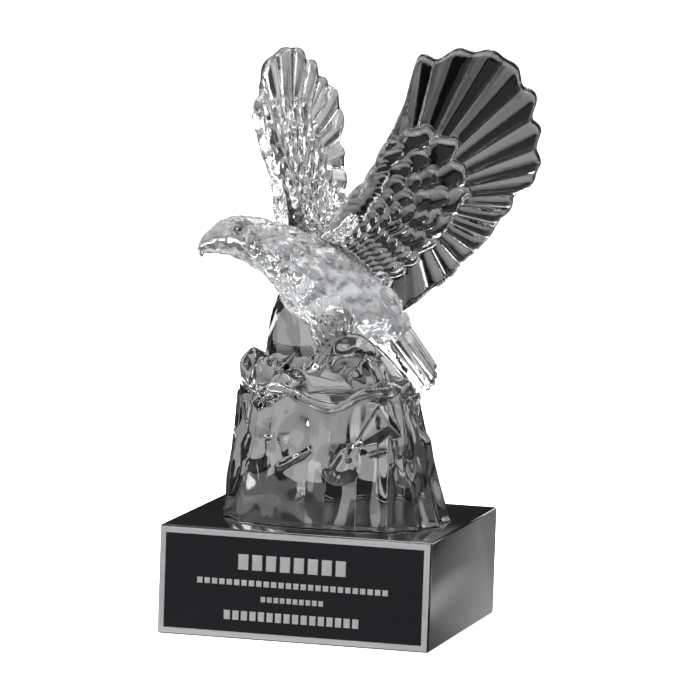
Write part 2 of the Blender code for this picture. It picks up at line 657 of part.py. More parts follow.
def make_plaque(collection):
    """A metal plate: its border and its inscription's strokes stand level above a sunk field."""
    width = BASE_WIDTH - 2 * PLAQUE_MARGIN
    height = BASE_HEIGHT - 2 * PLAQUE_MARGIN
    back = -BASE_DEPTH / 2 - PLAQUE_GAP
    front = back - PLAQUE_THICKNESS
    field = front + PLAQUE_FIELD_DEPTH
    middle = BASE_HEIGHT / 2

    shape = bmesh.new()
    block(shape, (-width / 2, front, PLAQUE_MARGIN), (width / 2, back, PLAQUE_MARGIN + height))
    face = min(shape.faces, key=lambda f: f.calc_center_median().y)
    bmesh.ops.inset_region(shape, faces=[face], thickness=PLAQUE_BORDER)
    for vert in face.verts:
        vert.co.y = field
    mesh = bpy.data.meshes.new("plaque")
    shape.to_mesh(mesh)
    shape.free()
    plaque = add_object("plaque", mesh, collection)
    plaque.data.materials.append(material("plaque_metal", (0.80, 0.80, 0.81), 0.28, metallic=1.0))

    strokes = bmesh.new()
    for (rise, stroke_height, length), count in zip(INSCRIPTION_ROWS, INSCRIPTION_STROKES):
        pitch = length / count
        for k in range(count):
            left = -length / 2 + k * pitch
            right = left + pitch * (1.0 - STROKE_GAP_SHARE)
            low = middle + rise - stroke_height / 2
            block(strokes, (left, front, low), (right, (field + back) / 2, low + stroke_height))
    stroke_mesh = bpy.data.meshes.new("inscription_strokes")
    strokes.to_mesh(stroke_mesh)
    strokes.free()
    cutter = add_object("inscription_strokes", stroke_mesh, bpy.data.collections["cutters"])
    cutter.hide_render = True
    cutter.display_type = "WIRE"
    join = plaque.modifiers.new("inscription", "BOOLEAN")
    join.operation = "UNION"
    join.object = cutter
    return plaque


def main():
    clear_scene()
    award = bpy.data.collections.new("crystal_eagle_award")
    cutters = bpy.data.collections.new("cutters")
    bpy.context.scene.collection.children.link(award)
    bpy.context.scene.collection.children.link(cutters)
    make_base(award)
    make_plaque(award)
    make_crystal(award, cutters)


main()
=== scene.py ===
# Crystal eagle award: clear cast eagle on its rock, black lacquered block, metal plaque
import math

import bmesh
import bpy
import numpy as np
from mathutils import Matrix, Vector, noise


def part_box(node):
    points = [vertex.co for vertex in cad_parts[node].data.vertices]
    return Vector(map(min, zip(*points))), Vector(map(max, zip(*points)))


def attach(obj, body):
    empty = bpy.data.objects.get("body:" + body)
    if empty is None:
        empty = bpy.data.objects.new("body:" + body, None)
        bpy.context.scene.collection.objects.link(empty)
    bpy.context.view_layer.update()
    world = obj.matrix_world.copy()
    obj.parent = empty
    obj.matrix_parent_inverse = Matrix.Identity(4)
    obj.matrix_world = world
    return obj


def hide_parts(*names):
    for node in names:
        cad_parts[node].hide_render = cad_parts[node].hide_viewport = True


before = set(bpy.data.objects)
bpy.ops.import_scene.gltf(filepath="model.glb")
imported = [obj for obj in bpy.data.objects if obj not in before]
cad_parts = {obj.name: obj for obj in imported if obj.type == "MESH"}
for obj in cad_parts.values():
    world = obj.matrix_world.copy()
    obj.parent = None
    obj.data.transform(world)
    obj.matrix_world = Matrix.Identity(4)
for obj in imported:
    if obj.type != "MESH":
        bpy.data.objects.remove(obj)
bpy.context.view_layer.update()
scene = bpy.context.scene
mm = 0.001


# Small helpers

def makeObject(name, mesh):
    made = bpy.data.objects.new(name, mesh)
    scene.collection.objects.link(made)
    return made


def easeIn(x):
    x = np.clip(x, 0.0, 1.0)
    return x * x * (3.0 - 2.0 * x)


def mixed(a, b, share):
    return a + (b - a) * share


def waver(x, y, z, seed=0.0):
    return noise.noise(Vector((x + seed * 7.3, y - seed * 3.1, z + seed)))


def axesOf(yaw):  # back direction and near-side direction of a figure turned by yaw degrees
    turn = math.radians(yaw)
    return np.array([math.cos(turn), math.sin(turn), 0.0]), np.array([math.sin(turn), -math.cos(turn), 0.0])


def smoothStations(sections, count):  # a smooth curve through the given rows of numbers
    rows = np.array([np.concatenate([np.atleast_1d(v) for v in row]) for row in sections], float)
    last = len(rows) - 1
    found = []
    for i in range(count + 1):
        at = i / count * last
        k = min(int(at), last - 1)
        t = at - k
        a, b, c, d = (rows[min(max(k + o, 0), last)] for o in (-1, 0, 1, 2))
        bend, twist = 2 * a - 5 * b + 4 * c - d, 3 * b - a - 3 * c + d
        found.append(0.5 * (2 * b + (c - a) * t + bend * t * t + twist * t ** 3))
    return found


def shingles(along, acrossOf, most=1e9, tipRound=0.45):
    # overlapping rounded scales: height 0 to 1 at each point, and whether a scale covers it
    # acrossOf(k) gives the place around row k, in scale widths
    height = np.zeros_like(along)
    found = np.zeros(along.shape, bool)
    first = np.floor(along)
    for back in (-1, 0, 1):
        k = first + back
        place = 2.0 * np.mod(acrossOf(k) + 0.5 * np.mod(k, 2.0), 1.0) - 1.0
        edge = k + 1.0 + tipRound * (0.4 - place ** 2)
        covers = (along <= edge) & ~found & (k < most) & (k >= 0)
        rise = np.clip((along - k + 0.4) / 1.4, 0.0, 1.0)
        seam = 0.35 * np.exp(-((1.0 - np.abs(place)) / 0.16) ** 2)
        height = np.where(covers, 0.72 * rise + 0.28 * (1.0 - place ** 2) - seam, height)
        found |= covers
    return height, found


class Shape:  # closed forms gathered in one mesh, in millimetres from the middle of the crystal's underside

    def __init__(self):
        self.points = []
        self.faces = []

    def loft(self, rings):
        start = len(self.points)
        count = len(rings[0])
        for ring in rings:
            self.points.extend(tuple(p) for p in ring)
        for r in range(len(rings) - 1):
            low = start + r * count
            for i in range(count):
                j = (i + 1) % count
                self.faces.append((low + i, low + j, low + count + j, low + count + i))
        self.faces.append(tuple(start + i for i in reversed(range(count))))
        top = start + (len(rings) - 1) * count
        self.faces.append(tuple(top + i for i in range(count)))

    def ball(self, place, radii, dentBy=0.0, seed=0, rows=24):
        rings = []
        for i in range(1, rows):
            lat = math.pi * i / rows - math.pi / 2.0
            ring = []
            for k in range(rows * 2):
                lon = math.tau * k / (rows * 2)
                way = np.array([math.cos(lat) * math.cos(lon), math.cos(lat) * math.sin(lon), math.sin(lat)])
                dent = 1.0 + dentBy * waver(way[0] * 1.3, way[1] * 1.3, way[2] * 1.3, seed)
                ring.append(np.array(place) + way * np.array(radii) * dent)
            rings.append(ring)
        self.loft(rings)

    def rod(self, points, sides=28, relief=None):
        places = [np.array(p, float) for p, _ in points]
        rings = []
        across = None
        for i, (place, (_, radius)) in enumerate(zip(places, points)):
            run = places[min(i + 1, len(places) - 1)] - places[max(i - 1, 0)]
            run /= np.linalg.norm(run)
            if across is None:
                across = np.cross(run, (0.3, 0.5, 0.81))
            across = across - across.dot(run) * run
            across /= np.linalg.norm(across)
            other = np.cross(run, across)
            ring = []
            for k in range(sides):
                angle = math.tau * k / sides
                extra = relief(i, angle) if relief else 0.0
                ring.append(place + (radius + extra) * (math.cos(angle) * across + math.sin(angle) * other))
            rings.append(ring)
        self.loft(rings)
        for place, radius in ((places[0], points[0][1]), (places[-1], points[-1][1])):
            self.ball(place, (radius,) * 3, rows=10)

    def hull(self, corners):
        shape = bmesh.new()
        made = [shape.verts.new(c) for c in corners]
        result = bmesh.ops.convex_hull(shape, input=made)
        spare = set(result["geom_interior"]) | set(result["geom_unused"])
        bmesh.ops.delete(shape, geom=[v for v in made if v in spare], context="VERTS")
        bmesh.ops.recalc_face_normals(shape, faces=shape.faces)
        start = len(self.points)
        shape.verts.index_update()
        self.points.extend(tuple(v.co) for v in shape.verts)
        self.faces.extend(tuple(start + v.index for v in f.verts) for f in shape.faces)
        shape.free()

    def mesh(self, name, lift):
        made = bpy.data.meshes.new(name)
        points = np.array(self.points) * mm + np.array([0.0, 0.0, lift])
        made.from_pydata([tuple(p) for p in points], [], self.faces)
        shape = bmesh.new()
        shape.from_mesh(made)
        bmesh.ops.recalc_face_normals(shape, faces=shape.faces)
        shape.to_mesh(made)
        shape.free()
        return made


# The eagle's body, head, legs and tail

bodySettings = {
    "centre": (2.0, 2.0, 108.0),
    "yaw": 37.0,
    # upper edge (back, up), lower edge (back, up), half width
    "sections": (
        ((-41.0, 26.5), (-48.0, 13.0), 9.0),
        ((-36.0, 27.4), (-43.0, 7.2), 12.5),
        ((-28.0, 25.8), (-36.5, 1.4), 15.0),
        ((-18.5, 22.0), (-31.0, -5.0), 17.0),
        ((-6.0, 19.0), (-23.0, -15.5), 18.5),
        ((5.0, 13.5), (-10.0, -24.0), 19.0),
        ((13.5, 6.5), (4.0, -27.5), 17.0),
        ((22.0, -2.5), (13.5, -25.5), 13.0),
        ((28.5, -11.5), (19.5, -26.0), 9.5),
        ((33.0, -19.0), (25.0, -29.0), 6.5),
    ),
    "scaleRows": 15,
    "scalesRound": 17,
    "scaleHeight": 1.35,
    "ruffle": 1.9,
    "ruffleScale": 0.13,
}
headSettings = {
    "centre": (-37.9, -28.1, 130.0),
    "yaw": 20.0,
    # back, up, half height, half width
    "sections": (
        (-21.6, -6.6, 1.6, 1.2),
        (-20.6, -5.4, 3.5, 2.3),
        (-18.0, -3.7, 4.9, 3.2),
        (-14.6, -2.3, 6.6, 4.2),
        (-10.6, -1.1, 8.2, 5.8),
        (-5.0, -0.9, 9.4, 7.6),
        (1.0, -2.1, 10.9, 8.8),
        (8.0, -4.6, 12.4, 9.9),
        (14.0, -7.2, 13.0, 10.2),
        (20.0, -9.0, 11.0, 8.6),
        (25.0, -10.5, 6.0, 5.0),
    ),
    "hook": ((-20.3, -7.0, 1.9), (-20.3, -9.0, 1.3), (-19.7, -10.5, 0.7)),
    "eye": (-3.9, 6.9, 4.2),
    "eyeRadius": 1.9,
    # back, out, up, radius of the cheek, the throat and the nostril, left clear of the painted sparkle and so
    # darker
    "clearPatches": ((2.6, 8.6, -2.6, 4.2), (6.0, 8.8, -7.0, 3.4), (-16.8, 2.4, -4.9, 0.8)),
    "eyeClear": 2.3,
    "featherRows": 24.0,
    "feathersRound": 20.0,
    "featherHeight": 0.8,
    "gapeDepth": 0.2,
    "cereHeight": 0.3,
    "ripple": 0.7,
}
legSettings = {
    "spread": 9.0,
    "thigh": ((-8.0, -13.0, 11.0), (-10.0, -22.0, 9.0), (-11.0, -29.0, 5.5)),
    "footHeight": -35.0,
    "toeLength": 10.0,
    "toeRadius": 2.3,
    "toeAngles": (-150.0, -180.0, 150.0, 0.0),
    "shagRows": 6.0,
    "shagRound": 11.0,
    "shagHeight": 1.1,
}
tailSettings = {
    "root": (18.5, -16.0),
    "slope": -50.0,
    "roll": 55.0,
    "length": 43.5,
    "rootHalfWidth": 12.0,
    "spread": 15.0,
    "feathers": 5,
    "halfThickness": 3.6,
}


def inBody(back, side, up):
    along, near = axesOf(bodySettings["yaw"])
    return np.array(bodySettings["centre"]) + along * back + near * side + np.array([0.0, 0.0, up])


def inHead(back, side, up):
    along, near = axesOf(headSettings["yaw"])
    return np.array(headSettings["centre"]) + along * back + near * side + np.array([0.0, 0.0, up])


def addBody(shape):
    s = bodySettings
    count, sides = 150, 180
    angles = np.linspace(0.0, math.tau, sides, endpoint=False)
    rings = []
    for i, (topBack, topUp, lowBack, lowUp, halfWidth) in enumerate(smoothStations(s["sections"], count)):
        along = i / count * s["scaleRows"] + 0.35 * np.sin(angles * 3.0 + i * 0.05)
        height, _ = shingles(along, lambda k: angles / math.tau * s["scalesRound"])
        ring = []
        for angle, scale in zip(angles, height):
            share = 0.5 + 0.5 * math.sin(angle)
            middle = inBody((topBack + lowBack) / 2.0, 0.0, (topUp + lowUp) / 2.0)
            back, up = mixed(lowBack, topBack, share), mixed(lowUp, topUp, share)
            point = inBody(back, math.cos(angle) * halfWidth, up)
            extra = s["scaleHeight"] * (scale - 0.5) + s["ruffle"] * waver(*(point * s["ruffleScale"]), 1.0)
            ring.append(middle + (point - middle) * (1.0 + extra / max(halfWidth, 6.0)))
        rings.append(ring)
    shape.loft(rings)


def addHead(shape):
    s = headSettings
    count, sides = 110, 128
    angles = np.linspace(0.0, math.tau, sides, endpoint=False)
    rings = []
    for i, (back, up, halfHeight, halfWidth) in enumerate(smoothStations(s["sections"], count)):
        fade = float(easeIn((back + 1.0) / 6.0))
        along = np.full(sides, i / count * s["featherRows"])
        height, _ = shingles(along, lambda k: angles / math.tau * s["feathersRound"])
        soft = float(easeIn((back + 20.0) / 4.0))
        ring = []
        for angle, scale in zip(angles, height):
            level = math.sin(angle)
            point = inHead(back, math.cos(angle) * halfWidth, up + level * halfHeight)
            gape = float(easeIn((-7.0 - back) / 3.0)) * soft * math.exp(-((level + 0.42) / 0.08) ** 2)
            cere = s["cereHeight"] * math.exp(-((back + 11.5) / 1.6) ** 2) * float(easeIn(level + 0.6))
            extra = fade * s["featherHeight"] * (scale - 0.5) - s["gapeDepth"] * gape + cere
            extra += soft * s["ripple"] * waver(*(point * 0.28), 3.0)
            middle = inHead(back, 0.0, up)
            ring.append(middle + (point - middle) * (1.0 + extra / max(halfHeight, 3.0)))
        rings.append(ring)
    shape.loft(rings)
    shape.rod([(inHead(b, 0.0, u), r) for b, u, r in s["hook"]], 20)
    back, out, up = s["eye"]
    for side in (-1.0, 1.0):
        shape.ball(inHead(back, side * out, up), (s["eyeRadius"],) * 3, rows=18)
        lid = []
        for k in range(25):  # raised lid round the eye
            turn = math.tau * k / 24
            place = inHead(back + 2.9 * math.cos(turn), side * (out + 0.6), up + 2.5 * math.sin(turn))
            lid.append((place, 0.6))
        shape.rod(lid, 10)
        shape.rod([
            (inHead(back - 7.0, side * (out - 3.2), up + 0.2), 0.8),
            (inHead(back - 2.6, side * (out - 1.0), up + 2.8), 1.2),
            (inHead(back + 2.6, side * (out - 0.2), up + 3.2), 1.2),
            (inHead(back + 6.4, side * (out + 0.1), up + 1.8), 0.7),
        ], 14)


def addLegs(shape):
    s = legSettings
    along, near = axesOf(bodySettings["yaw"])
    for side in (-1.0, 1.0):
        out = side * s["spread"]
        stations = smoothStations([(b, u, r) for b, u, r in s["thigh"]], 30)
        points = [(inBody(b, out, u), r) for b, u, r in stations]

        def shag(i, angle):
            row, place = np.array([i / 30.0 * s["shagRows"]]), np.array([angle / math.tau * s["shagRound"]])
            height, _ = shingles(row, lambda k: place, tipRound=0.8)
            return s["shagHeight"] * (float(height[0]) - 0.5)

        shape.rod(points, 64, shag)
        ankle = inBody(s["thigh"][-1][0], out, s["thigh"][-1][1])
        foot = inBody(s["thigh"][-1][0], out, s["footHeight"])
        for k in range(7):  # ragged feather ends round the ankle
            turn = math.tau * (k + 0.3 * side) / 7
            way = along * math.cos(turn) + near * math.sin(turn)
            drop = 5.0 + 2.2 * waver(k * 1.7, side, 0.3)
            shape.rod([(ankle + way * 2.8, 2.4), (ankle + way * 3.6 - np.array([0, 0, drop]), 0.7)], 12)
        shape.rod([(ankle, s["thigh"][-1][2] * 0.8), (foot, s["thigh"][-1][2] * 0.9)], 20)
        for angle in s["toeAngles"]:
            turn = math.radians(angle)
            ahead = along * math.cos(turn) + near * math.sin(turn)
            knuckle = foot + ahead * (s["toeLength"] * 0.55) + np.array([0.0, 0.0, 1.4])
            tip = foot + ahead * s["toeLength"] + np.array([0.0, 0.0, -3.2])
            shape.rod([(foot, s["toeRadius"]), (knuckle, s["toeRadius"]), (tip, s["toeRadius"] * 0.45)], 16)


def addTail(shape):
    s = tailSettings
    along, near = axesOf(bodySettings["yaw"])
    slope, roll = math.radians(s["slope"]), math.radians(s["roll"])
    run = along * math.cos(slope) + np.array([0.0, 0.0, math.sin(slope)])
    across = near * math.cos(roll) + np.cross(run, near) * math.sin(roll)
    face = np.cross(run, across)
    root = inBody(s["root"][0], 0.0, s["root"][1])
    perFeather, rows = 14, 60
    columns = s["feathers"] * perFeather
    outer = []
    for j in range(rows + 1):
        share = j / rows
        ring = []
        for side, order in ((1.0, range(columns + 1)), (-1.0, range(columns, -1, -1))):
            for i in order:
                place = 2.0 * ((i / perFeather) % 1.0) - 1.0 if i < columns else 1.0
                wide = 2.0 * i / columns - 1.0
                spread = math.radians(s["spread"] * wide)
                reach = s["length"] * (1.0 - 0.07 * place ** 2 - 0.10 * wide ** 2)
                half = s["halfThickness"] * mixed(1.5, 0.7, share) * (1.0 - 0.55 * wide ** 2)
                half += 0.5 * (0.4 - abs(place)) * share
                half -= 0.35 * math.exp(-((1.0 - abs(place)) / 0.12) ** 2)
                half += 0.25 * math.exp(-(place / 0.12) ** 2) * share
                half = max(half, 0.25) * math.sqrt(max(1.0 - max(share - 0.93, 0.0) ** 2 / 0.0052, 0.02))
                radius = reach * share
                sideways = radius * math.sin(spread) + mixed(s["rootHalfWidth"], 1.0, share) * wide
                outwards = run * (radius * math.cos(spread))
                ring.append(root + outwards + across * sideways + face * (side * half))
        outer.append(ring)
    shape.loft(outer)


# The wings

nearWing = {
    "origin": (5.4, -15.0, 139.7),
    "tipYaw": 4.0,
    "rootYaw": 12.0,
    "tilt": 22.0,
    "side": 1.0,
    "quill": (26.7, 10.2),
    # the outline's angle and reach from the quill centre, and the angles of the seams between its feathers
    "reach": (
        (97.0, 33.0), (92.0, 38.8), (89.0, 43.6), (86.5, 48.5), (84.6, 56.0), (83.2, 71.0), (81.6, 76.1),
        (79.8, 76.6), (76.0, 75.0), (74.0, 76.3), (71.5, 82.6), (69.3, 85.4), (65.0, 85.8), (63.5, 87.8),
        (61.8, 91.2), (59.0, 91.8), (56.5, 90.8), (54.0, 91.8), (51.5, 91.1), (49.5, 87.6), (47.0, 84.3),
        (45.5, 86.1), (43.6, 87.5), (41.0, 85.1), (39.5, 81.8), (37.6, 77.0), (36.5, 76.3), (34.5, 77.6),
        (32.0, 77.5), (29.5, 73.8), (26.5, 69.8), (23.0, 69.6), (20.0, 69.1), (17.0, 65.4), (14.0, 63.6),
        (11.0, 61.0), (8.5, 55.4), (6.5, 51.6), (0.5, 50.5), (-3.0, 48.9), (-8.0, 44.9), (-16.0, 43.0),
        (-24.0, 42.4), (-31.0, 41.2), (-37.5, 41.2), (-43.0, 40.2), (-52.0, 41.6), (-60.0, 44.2),
        (-66.0, 45.2), (-72.0, 47.0), (-77.0, 48.4), (-82.0, 51.6), (-88.0, 56.4), (-99.6, 59.4),
        (-115.4, 56.4), (-137.0, 50.0), (-152.0, 46.0), (-158.0, 34.5), (-175.9, 25.5), (-204.7, 18.2),
        (-236.6, 20.4), (-257.5, 29.0),
    ),
    "seams": (84.3, 75.8, 65.0, 56.5, 47.0, 36.8, 26.2, 17.0, 8.0, 0.5, -11.5, -24.0, -37.0, -50.0,
              -63.0, -76.0, -90.0),
    "arm": ((-14.0, -15.0, 3.6), (-2.0, -5.0, 3.8), (10.0, 9.5, 3.8), (18.8, 22.5, 3.5), (24.8, 35.0, 3.0),
            (30.0, 50.0, 2.4)),
    "shoulder": (-16.0, -20.0),
    # reach of the coverts from the shoulder by angle, and their rows' lengths outwards
    "coverts": (
        (110.0, 48.0), (72.0, 56.0), (58.0, 71.0), (54.0, 80.0), (48.0, 88.0), (42.0, 90.0), (36.0, 86.0),
        (28.0, 83.0), (22.0, 75.0), (18.5, 66.0), (9.5, 58.0), (3.0, 50.5), (-4.0, 44.5), (-13.0, 39.0),
        (-28.0, 35.0), (-46.0, 28.0), (-90.0, 22.0), (180.0, 30.0),
    ),
    "rows": (2.6, 2.8, 3.0, 3.2, 3.5, 3.8, 4.1, 4.5, 5.0, 5.5, 6.1, 6.8, 7.6, 8.6, 10.5, 12.5),
    "scaleWidth": 1.0,
}
farWing = {
    "origin": (-22.2, 10.0, 132.1),
    "tipYaw": 70.0,
    "rootYaw": 37.0,
    "tilt": 20.0,
    "side": -1.0,
    "quill": (-1.4, 24.0),
    "reach": (
        (124.4, 19.6), (118.0, 24.3), (112.0, 28.6), (106.0, 33.1), (101.5, 36.6), (95.5, 37.6), (91.0, 40.1),
        (88.0, 44.6), (85.0, 48.6), (82.0, 52.6), (79.0, 55.6), (74.0, 58.5), (70.0, 61.9), (67.0, 65.1),
        (64.0, 67.1), (60.5, 68.6), (58.0, 70.9), (55.0, 72.6), (53.5, 72.1), (51.8, 68.7), (50.3, 69.4),
        (47.6, 73.1), (46.0, 73.1), (44.5, 69.1), (43.0, 66.9), (41.3, 68.8), (38.5, 71.3), (36.9, 69.1),
        (35.5, 69.9), (32.6, 72.6), (31.0, 71.9), (29.5, 68.9), (26.7, 66.4), (25.0, 67.9), (22.0, 64.6),
        (19.0, 59.9), (15.7, 52.9), (12.8, 52.1), (10.0, 53.9), (7.0, 50.9), (0.5, 47.9), (-2.5, 49.3),
        (-8.0, 47.3), (-14.5, 44.1), (-24.2, 42.5), (-45.5, 38.0), (-70.8, 36.5), (-93.4, 34.0),
        (-110.0, 28.0), (-121.4, 23.0), (-140.0, 13.4), (-163.3, 10.6), (-190.0, 9.8), (-217.8, 12.6),
    ),
    "seams": (87.0, 73.0, 60.0, 51.8, 43.0, 36.9, 26.7, 15.7, 0.5, -14.5, -30.0, -45.0, -60.0, -75.0, -90.0),
    "arm": ((-5.2, -8.0, 4.8), (-4.4, 4.0, 4.9), (-4.2, 20.0, 4.9), (-5.2, 34.0, 4.7), (-5.8, 46.0, 4.3),
            (-5.2, 54.5, 3.7)),
    "shoulder": (-12.0, -14.0),
    "coverts": (
        (110.0, 62.0), (83.0, 71.0), (69.0, 76.0), (61.0, 81.0), (56.0, 75.0), (51.0, 66.0), (44.6, 60.0),
        (38.8, 56.5), (30.7, 53.5), (24.0, 52.0), (0.0, 46.0), (-40.0, 32.0), (-90.0, 24.0), (180.0, 30.0),
    ),
    "rows": (3.2, 3.4, 3.7, 4.0, 4.4, 4.8, 5.3, 5.8, 6.4, 7.2, 8.5, 10.0, 13.0),
    "scaleWidth": 0.62,
}
wingRelief = {
    "halfThickness": 2.2,
    "rootExtra": 0.8,
    "rimExtra": 1.1,
    "rimBlur": (-1.2, -0.6, 0.0, 0.6, 1.2),
    "shortReach": 54.0,
    "flute": 0.75,
    "overlap": 0.16,
    "grooveDepth": 0.32,
    "grooveWidth": 0.9,
    "innerOverlap": 0.32,
    "innerGrooveDepth": 0.50,
    "innerGrooveWidth": 0.55,
    "shaftHeight": 0.25,
    "leastHalf": 1.2,
    "rimRound": 2.6,
    "covertRise": 0.75,
    "scaleHeight": 0.65,
    "scaleHeightPerLength": 0.085,
    "stray": 0.22,
    "bow": 5.0,
    "bowReach": 90.0,
    "twistFrom": -14.0,
    "twistTo": 16.0,
    "perFeather": 26,
    "rootColumns": 260,
    "rowsOut": 150,
}


def turnedTable(points, angles):  # a closed outline's reach at each angle
    ordered = sorted((a % 360.0, r) for a, r in points)
    return np.interp(np.mod(angles, 360.0), [a for a, _ in ordered], [r for _, r in ordered], period=360.0)


def featherColumns(wing):  # each column's angle, place across its feather and the feather's half angle
    seams = wing["seams"]
    angles, places, halves = [], [], []
    count = wingRelief["perFeather"]
    for high, low in zip(seams, seams[1:]):
        for k in range(count):
            angles.append(mixed(high, low, k / count))
            places.append(2.0 * k / count - 1.0)
            halves.append(math.radians((high - low) / 2.0))
    rest = 360.0 - (seams[0] - seams[-1])
    spare = wingRelief["rootColumns"]
    for k in range(spare):
        angles.append(seams[-1] - rest * k / spare)
        places.append(math.nan)  # no feather at the root
        halves.append(0.1)
    return np.array(angles), np.array(places), np.array(halves)


def armHeight(wing, x, y):  # half thickness of the round arm bone along the leading edge
    found = np.zeros_like(x)
    for (ax, ay, ar), (bx, by, br) in zip(wing["arm"], wing["arm"][1:]):
        dx, dy = bx - ax, by - ay
        t = np.clip(((x - ax) * dx + (y - ay) * dy) / (dx * dx + dy * dy), 0.0, 1.0)
        radius = mixed(ar, br, t)
        away = np.hypot(x - ax - t * dx, y - ay - t * dy)
        found = np.maximum(found, np.sqrt(np.maximum(radius ** 2 - away ** 2, 0.0)))
    return found


def wingPlace(wing, x, y, out):
    r = wingRelief
    twist = easeIn((y - r["twistFrom"]) / (r["twistTo"] - r["twistFrom"]))
    yaw = np.radians(mixed(wing["rootYaw"], wing["tipYaw"], twist))
    side, tilt = wing["side"], math.radians(wing["tilt"])
    flat = np.zeros_like(yaw)
    along = np.stack([np.cos(yaw), np.sin(yaw), flat], -1)
    outward = side * np.stack([np.sin(yaw), -np.cos(yaw), flat], -1)
    up = np.array([0.0, 0.0, 1.0])
    rise = up * math.cos(tilt) + outward * math.sin(tilt)
    face = outward * math.cos(tilt) - up * math.sin(tilt)
    far = np.hypot(x - wing["quill"][0], y - wing["quill"][1]) / r["bowReach"]
    lift = out + r["bow"] * far ** 2
    return np.array(wing["origin"]) + along * x[..., None] + rise * y[..., None] + face * lift[..., None]


def wingHeight(wing, place, halfAngle, radius, reach, x, y):
    r = wingRelief
    isFeather = ~np.isnan(place)
    across = np.nan_to_num(place)
    share = radius / reach
    outward = easeIn(share * 1.8)
    pitch = halfAngle * radius
    base = r["halfThickness"] + r["rootExtra"] * (1.0 - share)
    wide = np.clip(pitch / 6.0, 0.3, 1.0)
    narrow = easeIn((r["shortReach"] - reach) / 6.0)  # the short inner feathers are cut more sharply
    flight = r["flute"] * wide * (0.45 - np.abs(across) ** 1.6)
    flight += mixed(r["overlap"], r["innerOverlap"], narrow) * across
    seam = (1.0 - np.abs(across)) * pitch / mixed(r["grooveWidth"], r["innerGrooveWidth"], narrow)
    flight -= mixed(r["grooveDepth"], r["innerGrooveDepth"], narrow) * np.exp(-seam ** 2)
    flight += r["shaftHeight"] * np.exp(-(across * pitch / 0.55) ** 2)
    feather = base + np.where(isFeather, flight * outward, 0.0)
    # coverts: rows of overlapping scales outwards from the shoulder, longer and broader row by row
    sx, sy = wing["shoulder"]
    strayX = np.sin(0.43 * x + 0.29 * y) + np.sin(0.21 * x - 0.37 * y + 1.7)
    strayY = np.sin(0.39 * y - 0.23 * x + 0.6) + np.sin(0.17 * y + 0.45 * x + 2.9)
    fromX, fromY = x - sx, y - sy
    away = r["stray"] * (1.0 + np.hypot(fromX, fromY) / 40.0)
    fromX, fromY = fromX + away * strayX, fromY + away * strayY
    rho, phi = np.hypot(fromX, fromY), np.degrees(np.arctan2(fromY, fromX))
    lengths = np.array(wing["rows"])
    bounds = np.concatenate([[0.0], np.cumsum(lengths)]) / lengths.sum()
    along = rho / turnedTable(wing["coverts"], phi)
    row = np.interp(along, bounds, np.arange(len(bounds)))
    row = np.where(along > 1.0, len(lengths) + (along - 1.0) * lengths.sum() / lengths[-1], row)
    middles = (bounds[:-1] + bounds[1:]) / 2.0 * lengths.sum()

    def acrossOf(k):
        index = np.clip(k, 0, len(lengths) - 1).astype(int)
        return np.radians(phi) * middles[index] / (lengths[index] * wing["scaleWidth"])

    scale, covered = shingles(row, acrossOf, len(lengths), 0.6)
    index = np.clip(np.floor(row), 0, len(lengths) - 1).astype(int)
    amount = r["scaleHeight"] + r["scaleHeightPerLength"] * lengths[index]
    covert = base + r["covertRise"] + amount * (scale - 0.45)
    half = np.maximum(np.where(covered, covert, feather), r["leastHalf"])
    rim = np.clip((reach - radius) / r["rimRound"], 0.0, 1.0)
    half = half * (0.15 + 0.85 * rim ** 0.8 * (1.6 - 0.6 * rim))
    arm = armHeight(wing, x, y)
    blend = 0.6  # a soft greatest of the plate and the arm
    return np.where(arm > 0.0, blend * np.log(np.exp(half / blend) + np.exp(arm / blend) - 0.8), half)


def addWing(shape, wing):
    r = wingRelief
    angles, places, halves = featherColumns(wing)
    shares = np.linspace(0.0, 1.0, r["rowsOut"] + 1)[1:]
    shares = 1.0 - (1.0 - shares) ** 1.15
    angle, share = np.meshgrid(angles, shares, indexing="ij")
    place = np.repeat(places[:, None], len(shares), 1)
    halfAngle = np.repeat(halves[:, None], len(shares), 1)
    reach = sum(turnedTable(wing["reach"], angle + turn) for turn in r["rimBlur"]) / len(r["rimBlur"])
    reach = reach + r["rimExtra"]
    radius = reach * share
    x = wing["quill"][0] + radius * np.cos(np.radians(angle))
    y = wing["quill"][1] + radius * np.sin(np.radians(angle))
    start = len(shape.points)
    half = wingHeight(wing, place, halfAngle, radius, reach, x, y)
    nearFace, farFace = wingPlace(wing, x, y, half), wingPlace(wing, x, y, -half)
    count, rows = x.shape
    for grid in (nearFace, farFace):
        shape.points.extend(tuple(p) for p in grid.reshape(-1, 3))
        shape.points.append(tuple(grid[:, 0].mean(0)))
    for sheet in (0, 1):
        base = start + sheet * (count * rows + 1)
        centre = base + count * rows
        for i in range(count):
            a, b = base + i * rows, base + (i + 1) % count * rows
            shape.faces.append((centre, a, b))
            for j in range(rows - 1):
                shape.faces.append((a + j, a + j + 1, b + j + 1, b + j))
    back = start + count * rows + 1
    for i in range(count):
        k = (i + 1) % count
        a, b = i * rows + rows - 1, k * rows + rows - 1
        shape.faces.append((start + a, back + a, back + b, start + b))


# The rock

